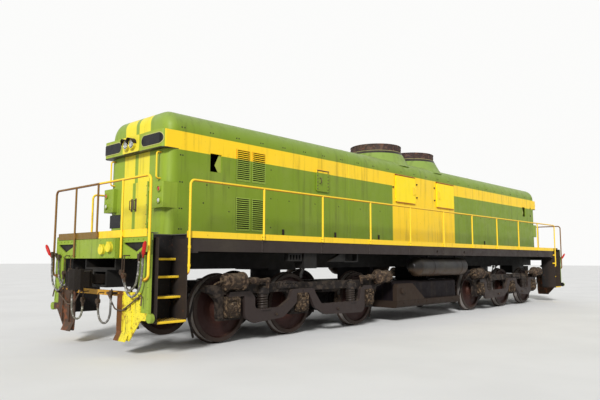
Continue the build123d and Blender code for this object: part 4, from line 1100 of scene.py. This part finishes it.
strips = [rain_strip(0.27, 1.05, 3.136), rain_strip(-1.52, -0.69, 3.136)]
fixed("rain_strips", strips, BOTH_SIDES, strip_red)
catches = [slab((x - 0.011, x + 0.011), (HOOD_SIDE - 0.002, HOOD_SIDE + 0.032), (z - 0.015, z + 0.015), 0.003)
           for x, z in ((1.135, 2.86), (0.185, 3.00), (0.185, 2.70), (-0.605, 3.00), (-0.605, 2.70))]
catches += [slab((x - 0.02, x + 0.02), (HOOD_SIDE - 0.002, HOOD_SIDE + 0.022), (1.70, 1.80))
            for x in (4.50, 3.10, 1.69, -3.2)]
ring = turned([(0.026, 0), (0.026, 0.006), (0.020, 0.008), (0.016, 0.002)], 14)
catches += [copies(ring, [(-6.47, HOOD_SIDE, z)], OUT) for z in (2.90, 2.67)]
fixed("catches", catches, BOTH_SIDES, dark_iron)

# %% [markdown]
# ## Plates and lamps of the ends
# The number plates wrap round the housing's corner. They are blank here: a stadium outline
# follows the housing's plan, flat and then round, and stands proud along its normal.

# %% Number plates
PLATE_Y, PLATE_Z, PLATE_HALF = (0.285, 0.840), 3.030, 0.092
NOSE_RADIUS = 0.075
plate_black = aged("plate_black", (0.006, 0.006, 0.007), 0.35, streaks=0.05, dust=0.02)
plate_rim = aged("plate_rim", (0.42, 0.42, 0.14), 0.45, chalk=0.05, streaks=0.2, dust=0.08)


def stadium(inset, lift, count=30):
    """Rings of four points along the housing's plan; height by the root rule near both ends."""
    flat_to = HOOD_SIDE - NOSE_RADIUS
    turn = math.asin((PLATE_Y[1] - flat_to) / NOSE_RADIUS)
    total = flat_to - PLATE_Y[0] + turn * NOSE_RADIUS
    radius = PLATE_HALF - inset
    s = inset + (total - 2 * inset) * (1 - np.cos(np.linspace(0, np.pi, count))) / 2
    beyond = np.clip((s - (flat_to - PLATE_Y[0])) / NOSE_RADIUS, 0, None)
    y = np.where(beyond > 0, flat_to + NOSE_RADIUS * np.sin(beyond), PLATE_Y[0] + s)
    x = NOSE - NOSE_RADIUS + NOSE_RADIUS * np.cos(beyond)
    near = np.clip(radius - np.minimum(s - inset, total - inset - s), 0, radius)
    high = np.sqrt(radius ** 2 - near ** 2) + 0.0005
    rings = [[(a + d * math.cos(t), b + d * math.sin(t), PLATE_Z + k * h) for d, k in
              ((lift, -1), (lift, 1), (-0.004, 1), (-0.004, -1))] for a, b, t, h in zip(x, y, beyond, high)]
    return skin(rings)


fixed("number_plate_rims", [stadium(0, 0.005)], ALL_CORNERS, plate_rim)
fixed("number_plates", [stadium(0.013, 0.008)], ALL_CORNERS, plate_black)

# %% [markdown]
# A headlamp is a bowl that sends light forward, a bulb and a clear front. The bowl's radius
# grows with the root of its depth, as in a real reflector. A visor shades each barrel: half
# a tube with a thickness.

# %% Headlamps and marker lamps
LAMP_Y, LAMP_Z, LAMP_FLOOR = 0.085, 3.026, 6.971
BOWL_RADIUS, BOWL_DEPTH = 0.064, 0.026
VISOR_BACK, VISOR_FRONT = 6.958, 7.020


def plain(name, colour, rough, **sockets):
    """A uniform shader whose other sockets are given by name, with a fine mottling of its colour."""
    material, tree, shader = start(name)
    darker = tuple(c * 0.7 for c in colour)
    mottled = mixed(tree, ramped(tree, speckle(tree, metres(tree), 60), 0.4, 0.7), colour, darker)
    tree.links.new(mottled, shader.inputs["Base Color"])
    shader.inputs["Roughness"].default_value = rough
    for key, value in sockets.items():
        shader.inputs[key.replace("_", " ")].default_value = value
    return material


mirror = plain("mirror", (0.78, 0.78, 0.76), 0.12, Metallic=1.0)
clear_glass = plain("clear_glass", (0.95, 0.97, 0.96), 0.04, Transmission_Weight=1.0, IOR=1.45)
red_glass = plain("red_glass", (0.60, 0.015, 0.012), 0.12, Transmission_Weight=0.25, Coat_Weight=0.6)
white_glass = plain("white_glass", (0.75, 0.75, 0.68), 0.12, Transmission_Weight=0.25, Coat_Weight=0.6)
bowl = [(BOWL_RADIUS * math.sqrt(d / BOWL_DEPTH), d) for d in np.linspace(0.002, BOWL_DEPTH, 7)]
bowl = turned([(0.006, 0.002)] + bowl + [(0.0685, BOWL_DEPTH), (0.0685, 0.001)], 28)
bulb = turned([(0.004, 0.002), (0.007, 0.006), (0.012, 0.016), (0.009, 0.023), (0.003, 0.025)], 12)
front_glass = turned([(0.069, 0.027), (0.069, 0.029), (0.050, 0.032), (0.025, 0.0335), (0.002, 0.034)], 28)
lamp_spots = [(LAMP_FLOOR, side * LAMP_Y, LAMP_Z) for side in (1, -1)]
for name, shape, finish in (("lamp_bowls", bowl, mirror), ("lamp_bulbs", bulb, white_glass),
                            ("lamp_glasses", front_glass, clear_glass)):
    fixed(name, [copies(shape, lamp_spots, AHEAD)], BOTH_ENDS, finish)


def visor(y, radius=0.080, thick=0.004, steps=15):
    """Half a tube over a barrel, longer at the top than at its sides."""
    outer = radius + thick
    rings = []
    for a in np.linspace(0, np.pi, steps):
        reach = VISOR_FRONT + 0.050 * math.sin(a)
        section = ((VISOR_BACK, radius), (reach, radius), (reach, outer), (VISOR_BACK, outer))
        rings.append([(x, y + r * math.cos(a), LAMP_Z + r * math.sin(a)) for x, r in section])
    return skin(rings)


fixed("lamp_visors", [visor(LAMP_Y), visor(-LAMP_Y)], BOTH_ENDS, dark_iron)
a = np.linspace(0, 1.45, 6)
lens = turned(np.stack([0.0355 * np.cos(a), 0.016 * np.sin(a)], -1), 20)
for name, z, glass in (("marker_red", 2.290, red_glass), ("marker_white", 2.122, white_glass)):
    fixed(name, [copies(lens, (6.923, 0.760, z), AHEAD)], ALL_CORNERS, glass)

# %% [markdown]
# ## Doors' handles and the bare plate
# Handles and latch plates ride with their own doors, so that they swing with them. A handle
# is a bent round bar. The end's plate carries no writing: it is a dark plate on four rivets.

# %% Handles and the end's plate
DOOR_FACE = 0.880
END_DOOR_FACE = 6.870
handle_iron = aged("handle_iron", (0.10, 0.065, 0.045), 0.5, metal=0.3, streaks=0.3, dust=0.2,
                   rust=0.4)


def bent_handle(foot_a, foot_b, way, stand=0.040, radius=0.007):
    """A round bar that rises from one foot, runs along and goes back to the other."""
    lift = np.asarray(way, float) * stand
    path = cushioned([foot_a, np.add(foot_a, lift), np.add(foot_b, lift), foot_b], 0.016)
    side_way = np.cross(np.subtract(foot_b, foot_a), way)
    return carried(path, round_section(radius, 8), side_way / np.linalg.norm(side_way))


SIDES = (("left", 1), ("right", -1))
for hand, side in SIDES:
    for end_name, x in (("front", 0.345), ("rear", -0.770)):
        shapes = [bent_handle((x, DOOR_FACE, 2.760), (x, DOOR_FACE, 2.900), OUT),
                  slab((x - 0.030, x + 0.030), (DOOR_FACE - 0.001, DOOR_FACE + 0.005), (2.735, 2.925))]
        door = f"side_door_{hand}_{end_name}"
        piece(f"handle_side_{hand}_{end_name}", spread(shapes, ((1, side, 1),)), door, strip_finish)
    dots = [(x, DOOR_FACE, z) for x in (3.330, 3.625) for z in np.linspace(2.585, 2.90, 6)]
    shapes = [bent_handle((3.570, DOOR_FACE, 2.690), (3.570, DOOR_FACE, 2.790), OUT),
              copies(rivet(0.013), dots, OUT),
              slab((3.306, 3.648), (DOOR_FACE - 0.001, DOOR_FACE + 0.010), (2.922, 2.940), 0.003)]
    piece(f"handle_cover_{hand}", spread(shapes, ((1, side, 1),)), f"cover_{hand}", handle_iron)
for end_name, end in ENDS:
    for hand, side in SIDES:
        rivets = row((END_DOOR_FACE, 0.350, 1.80), (END_DOOR_FACE, 0.350, 2.37), 5)
        shapes = [bent_handle((END_DOOR_FACE, 0.055, 2.030), (END_DOOR_FACE, 0.055, 2.170), AHEAD),
                  slab((END_DOOR_FACE - 0.001, END_DOOR_FACE + 0.005), (0.030, 0.080), (2.000, 2.200)),
                  copies(rivet(0.009), rivets, AHEAD)]
        door = f"end_door_{end_name}_{hand}"
        piece(f"handle_end_{end_name}_{hand}", spread(shapes, ((end, side, 1),)), door, handle_iron)
plate = [slab((6.839, 6.845), (-0.770, -0.390), (1.770, 1.980)),
         copies(rivet(0.010), [(6.845, y, z) for y in (-0.75, -0.41) for z in (1.79, 1.96)], AHEAD)]
piece("bare_plate", plate, "carbody", plate_black)

# %% [markdown]
# ## Treads, clamps and the cut lever
# Boots need grip, so each step has rows of raised studs and a rolled front edge. A stud is a
# pyramid with its top cut off, because a rounder one would cost too many faces.

# %% Studs and edges of the steps
STEP_REACH = (1.130, 1.210, 1.260, 1.400)
STUD_PITCH = 0.032
tread_iron = aged("tread_iron", (0.045, 0.030, 0.022), 0.6, metal=0.2, streaks=0.2, dust=0.25,
                  rust=0.4)
stud = turned([(0.010, -0.001), (0.007, 0.005), (0.003, 0.006)], 4)
studs, edges = [], []
for height, outer in zip(STEP_HEIGHTS, STEP_REACH):
    spots = []
    for k, y in enumerate(np.arange(1.035, outer - 0.02, STUD_PITCH)):
        first = STEP_X[0] + 0.02 + STUD_PITCH / 2 * (k % 2)
        spots += [(x, y, height) for x in np.arange(first, STEP_X[1] - 0.01, STUD_PITCH)]
    studs.append(copies(stud, spots))
    rim = round_section(0.011, 10) + (outer - 0.004, height - 0.010)
    edges.append(skin([[(x, y, z) for y, z in rim] for x in (STEP_X[0] + 0.001, STEP_X[1] - 0.001)]))
fixed("step_studs", studs, ALL_CORNERS, tread_iron)
fixed("step_edges", edges, ALL_CORNERS, strip_finish)

# %% [markdown]
# Bolts hold the brackets of the side rails' posts, and behind each post a narrow strap lies
# on the sill. Clamps hold the corner rails to the steps' stringers. All follow the posts'
# places, which are one row with an even pitch.

# %% Posts, straps and clamps
CORNER_POST_X, POST_PITCH, POST_Y = 6.830, 1.375, 1.398
POSTS_X = CORNER_POST_X - POST_PITCH * np.arange(1, 10)
post_bolts = [copies(bolt(0.012), [(x, 1.376, z) for x in POSTS_X for z in (1.430, 1.530)], OUT),
              copies(bolt(0.010), [(x + d, POST_Y, 1.622) for x in POSTS_X for d in (-0.023, 0.023)], OUT)]
fixed("post_bolts", post_bolts, BOTH_SIDES, dark_iron)
strap_grey = aged("strap_grey", (0.085, 0.072, 0.066), 0.6, streaks=0.3, dust=0.2, rust=0.15)
straps = [slab((x - 0.011, x + 0.011), (1.366, 1.373), (1.392, 1.574), 0.002) for x in POSTS_X]
fixed("sill_straps", straps, BOTH_SIDES, strap_grey)


def clamp(x, y, z):
    """A band round an upright rail, with its ears as one block."""
    band = turned([(0.017, -0.020), (0.023, -0.020), (0.023, 0.020), (0.017, 0.020)], 14)
    ears = slab((x - 0.022, x + 0.022), (y - 0.050, y - 0.018), (z - 0.020, z + 0.020), 0.002)
    return [copies(band, (x, y, z)), ears]


clamps = clamp(CORNER_POST_X, POST_Y, 1.450) + clamp(CORNER_POST_X, POST_Y, 1.200)
fixed("rail_clamps", clamps, ALL_CORNERS, strip_finish)

# %% [markdown]
# The cut lever is a round bar across the pilot, bent to clear it, that ends in a handle at
# the corner. It is carried along a line with rounded bends. Two small brackets and a block
# at its inner end hold it.

# %% Cut levers
LEVER_X = 7.462
lever_line = [(LEVER_X, 0.400, 0.815), (LEVER_X, 0.620, 0.610), (LEVER_X, 0.810, 0.600),
              (LEVER_X, 1.285, 0.830), (LEVER_X + 0.018, 1.300, 0.690)]
cut_lever = [carried(cushioned(lever_line, 0.04, 6), round_section(0.010, 10), AHEAD)]
cut_lever += [slab((7.433, 7.474), (y - 0.012, y + 0.012), (z - 0.026, z + 0.004), 0.002)
              for y, z in ((0.865, 0.632), (1.180, 0.785))]
cut_lever += [slab((7.419, 7.474), (0.388, 0.420), (0.800, 0.835), 0.003)]
fixed("cut_levers", cut_lever, ALL_CORNERS, handle_iron)

# %% [markdown]
# ## Bolts on the end plates
# Plates that take buffing loads are bolted closely. These rows follow the plates' edges.

# %% End plate bolts
# radius of the washer, x, then y and z of the first and the last bolt, and how many there are
BOLT_ROWS = ((0.014, HEADSTOCK_FACE, (0.72, 1.545), (1.34, 1.545), 6),
             (0.014, HEADSTOCK_FACE, (0.72, 1.312), (1.10, 1.312), 3),
             (0.014, HEADSTOCK_FACE, (1.352, 1.22), (1.352, 0.64), 5),
             (0.013, 7.434, (0.66, 0.822), (1.16, 0.822), 5))
end_bolts = [copies(bolt(size), row((x, *first), (x, *last), count), AHEAD)
             for size, x, first, last, count in BOLT_ROWS]
box_corners = [(7.515, y, z) for y in (0.252, 0.633) for z in (1.312, 1.548)]
end_bolts.append(copies(bolt(0.011), box_corners, AHEAD))
fixed("end_bolts", end_bolts, ALL_CORNERS, headstock_finish)

# %% [markdown]
# ## Bogie fasteners
# The journal boxes' caps, the brake cylinders' flanges, the pedestals and the equalizers'
# pins each have their bolts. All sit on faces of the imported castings, and ride with them. The
# cylinders' back covers and lugs, the air pipes and the sanding pipes are added here too.

# %% Bogie bolts
CASTING_Y = 1.060
DRUM_Y, DRUM_Z = 1.192, 0.958
cap_nut = turned([(0.030, 0), (0.030, 0.006), (0.022, 0.010)], 6)
back_cover = turned([(0.128, 0), (0.128, 0.014), (0.060, 0.020), (0.050, 0.044), (0.010, 0.046)], 20)
pin = turned([(0.020, -0.004), (0.020, 0.004), (0.013, 0.008)], 12)
shapes, grimy = [], []
for axle in AXLES:
    x = PIVOT + axle
    grimy.append(copies(bolt(0.015), circle((x, 1.171, AXLE_Z), 0.084, 6, OUT, 0.52), OUT))
    grimy.append(copies(cap_nut, [(x, 1.1875, AXLE_Z)], OUT))
    spots = [(x + d, CASTING_Y, z) for d in (-0.180, 0.180) for z in (0.425, 0.600)]
    shapes.append(copies(bolt(0.014), spots, OUT))
    grimy += [slab((x + d - 0.011, x + d + 0.011), (1.128, 1.146), (0.440, 0.700), 0.003)
              for d in (-0.066, 0.066)]
    grimy.append(slab((x - 0.118, x + 0.118), (1.128, 1.150), (0.668, 0.700), 0.004))
for x, way in ((PIVOT + 1.741, -1), (PIVOT - 2.044, 1)):
    ahead, back = (way, 0, 0), (-way, 0, 0)
    flange = (x + way * 0.158, DRUM_Y, DRUM_Z)
    grimy.append(copies(bolt(0.013), circle(flange, 0.124, 8, ahead, 0.39), ahead))
    flange = (x + way * 0.124, DRUM_Y, DRUM_Z)
    grimy.append(copies(bolt(0.013), circle(flange, 0.128, 8, back, 0.39), back))
    drum_end = x - way * 0.170
    grimy.append(copies(back_cover, (drum_end, DRUM_Y, DRUM_Z), back))
    ring = circle((drum_end - way * 0.012, DRUM_Y, DRUM_Z), 0.108, 8, back)
    grimy.append(copies(bolt(0.014), ring, back))
    elbow = x - way * 0.270
    air = [(x - way * 0.205, DRUM_Y, DRUM_Z), (elbow, DRUM_Y, DRUM_Z), (elbow, 1.080, 0.930),
           (elbow, 1.010, 0.880)]
    grimy.append(carried(cushioned(air, 0.035), round_section(0.012, 8), (0.1, 0.2, 1)))
    lug = x + way * 0.480
    grimy.append(slab((lug - 0.05, lug + 0.05), (1.192, 1.205), (0.900, 0.925), 0.003))
for x, way in ((PIVOT + 2.150, 1), (PIVOT - 2.160, -1)):
    sand = [(x, 1.000, 0.870), (x + way * 0.090, 0.900, 0.780), (x + way * 0.100, 0.775, 0.420),
            (x + way * 0.015, 0.762, 0.130)]
    shapes.append(carried(cushioned(sand, 0.08, 6), round_section(0.018, 10), OUT))
grimy.append(copies(pin, [(PIVOT + 0.815, 1.150, 0.410), (PIVOT - 0.745, 1.150, 0.400)], OUT))
bolts = row((PIVOT - 0.60, CASTING_Y, 0.845), (PIVOT + 0.16, CASTING_Y, 0.845), 5)
rivets = row((PIVOT + 0.30, 1.102, 0.838), (PIVOT + 0.73, 1.102, 0.838), 6)
shapes += [copies(bolt(0.014), bolts, OUT), copies(rivet(0.012), rivets, OUT)]
for end_name, end in ENDS:
    signs = ((end, 1, 1), (end, -1, 1))
    piece(f"bogie_{end_name}_bolts", spread(shapes, signs), f"bogie_{end_name}", frame_finish)
    piece(f"bogie_{end_name}_box_bolts", spread(grimy, signs), f"bogie_{end_name}", box_finish)

# %% [markdown]
# ## Tank fittings
# The skirt is bolted on, each side has a filler cap, and the reservoirs' straps have nuts.

# %% Tank and reservoir fittings
tank_bolts = [copies(bolt(0.017), [(x, 1.200, 0.400) for x in (1.31, 0.75, 0.40, -0.18, -0.72)], OUT)]
cap = turned([(0.060, 0), (0.060, 0.030), (0.048, 0.040), (0.020, 0.042), (0.012, 0.058), (0.004, 0.060)], 18)
tank_bolts.append(copies(cap, [(1.360, 1.200, 0.640)], OUT))
tank_bolts.append(copies(bolt(0.016), [(x, 1.366, 1.383) for x in (0.203, -1.045)], (0, 0.3, -1)))
fixed("tank_fittings", tank_bolts, BOTH_SIDES, tank_finish)

# %% [markdown]
# ## The stage
# A pale floor and a soft sun from the photograph's own side. The world is white to the
# camera, and dimmer to the surfaces that it lights. Light Path tells the two apart.

# %% Floor, sun and sky
SUN_FROM = Vector((0.743, 0.485, 0.462))
sun = bpy.data.lights.new("sun", "SUN")
sun.energy = 3.5
sun.angle = math.radians(10)
sun_object = bpy.data.objects.new("sun", sun)
sun_object.rotation_euler = SUN_FROM.to_track_quat("Z", "Y").to_euler()
bpy.context.scene.collection.objects.link(sun_object)

world = bpy.data.worlds.new("studio")
world.use_nodes = True
bpy.context.scene.world = world
sky = world.node_tree
paths = add(sky, "LightPath")
seen = sums(sky, "MAXIMUM", paths.outputs["Is Camera Ray"], paths.outputs["Is Glossy Ray"])
seen = sums(sky, "MAXIMUM", seen, paths.outputs["Is Transmission Ray"])
background = sky.nodes["Background"]
background.inputs["Color"].default_value = (0.97, 0.97, 0.96, 1)
strength = add(sky, "MapRange", {"Value": seen, "To Min": 0.42, "To Max": 1.0}).outputs[0]
sky.links.new(strength, background.inputs["Strength"])

floor_pale, tree, shader = start("floor_pale")
clouds = ramped(tree, speckle(tree, metres(tree), 0.6, 3), 0.3, 0.7)
tone = mixed(tree, clouds, (0.83, 0.83, 0.82), (0.79, 0.79, 0.78))
tree.links.new(tone, shader.inputs["Base Color"])
shader.inputs["Roughness"].default_value = 0.9
shader.inputs["Specular IOR Level"].default_value = 0.1
floor_mesh = bpy.data.meshes.new("floor")
floor_corners = [(x * 150, y * 150, 0) for x, y in ((-1, -1), (1, -1), (1, 1), (-1, 1))]
floor_mesh.from_pydata(floor_corners, [], [(0, 1, 2, 3)])
floor_mesh.materials.append(floor_pale)
floor = bpy.data.objects.new("floor", floor_mesh)
bpy.context.scene.collection.objects.link(floor)
bpy.context.scene.view_settings.view_transform = "Standard"
print("added", sum(made.values()), "triangles in", len(made), "pieces")
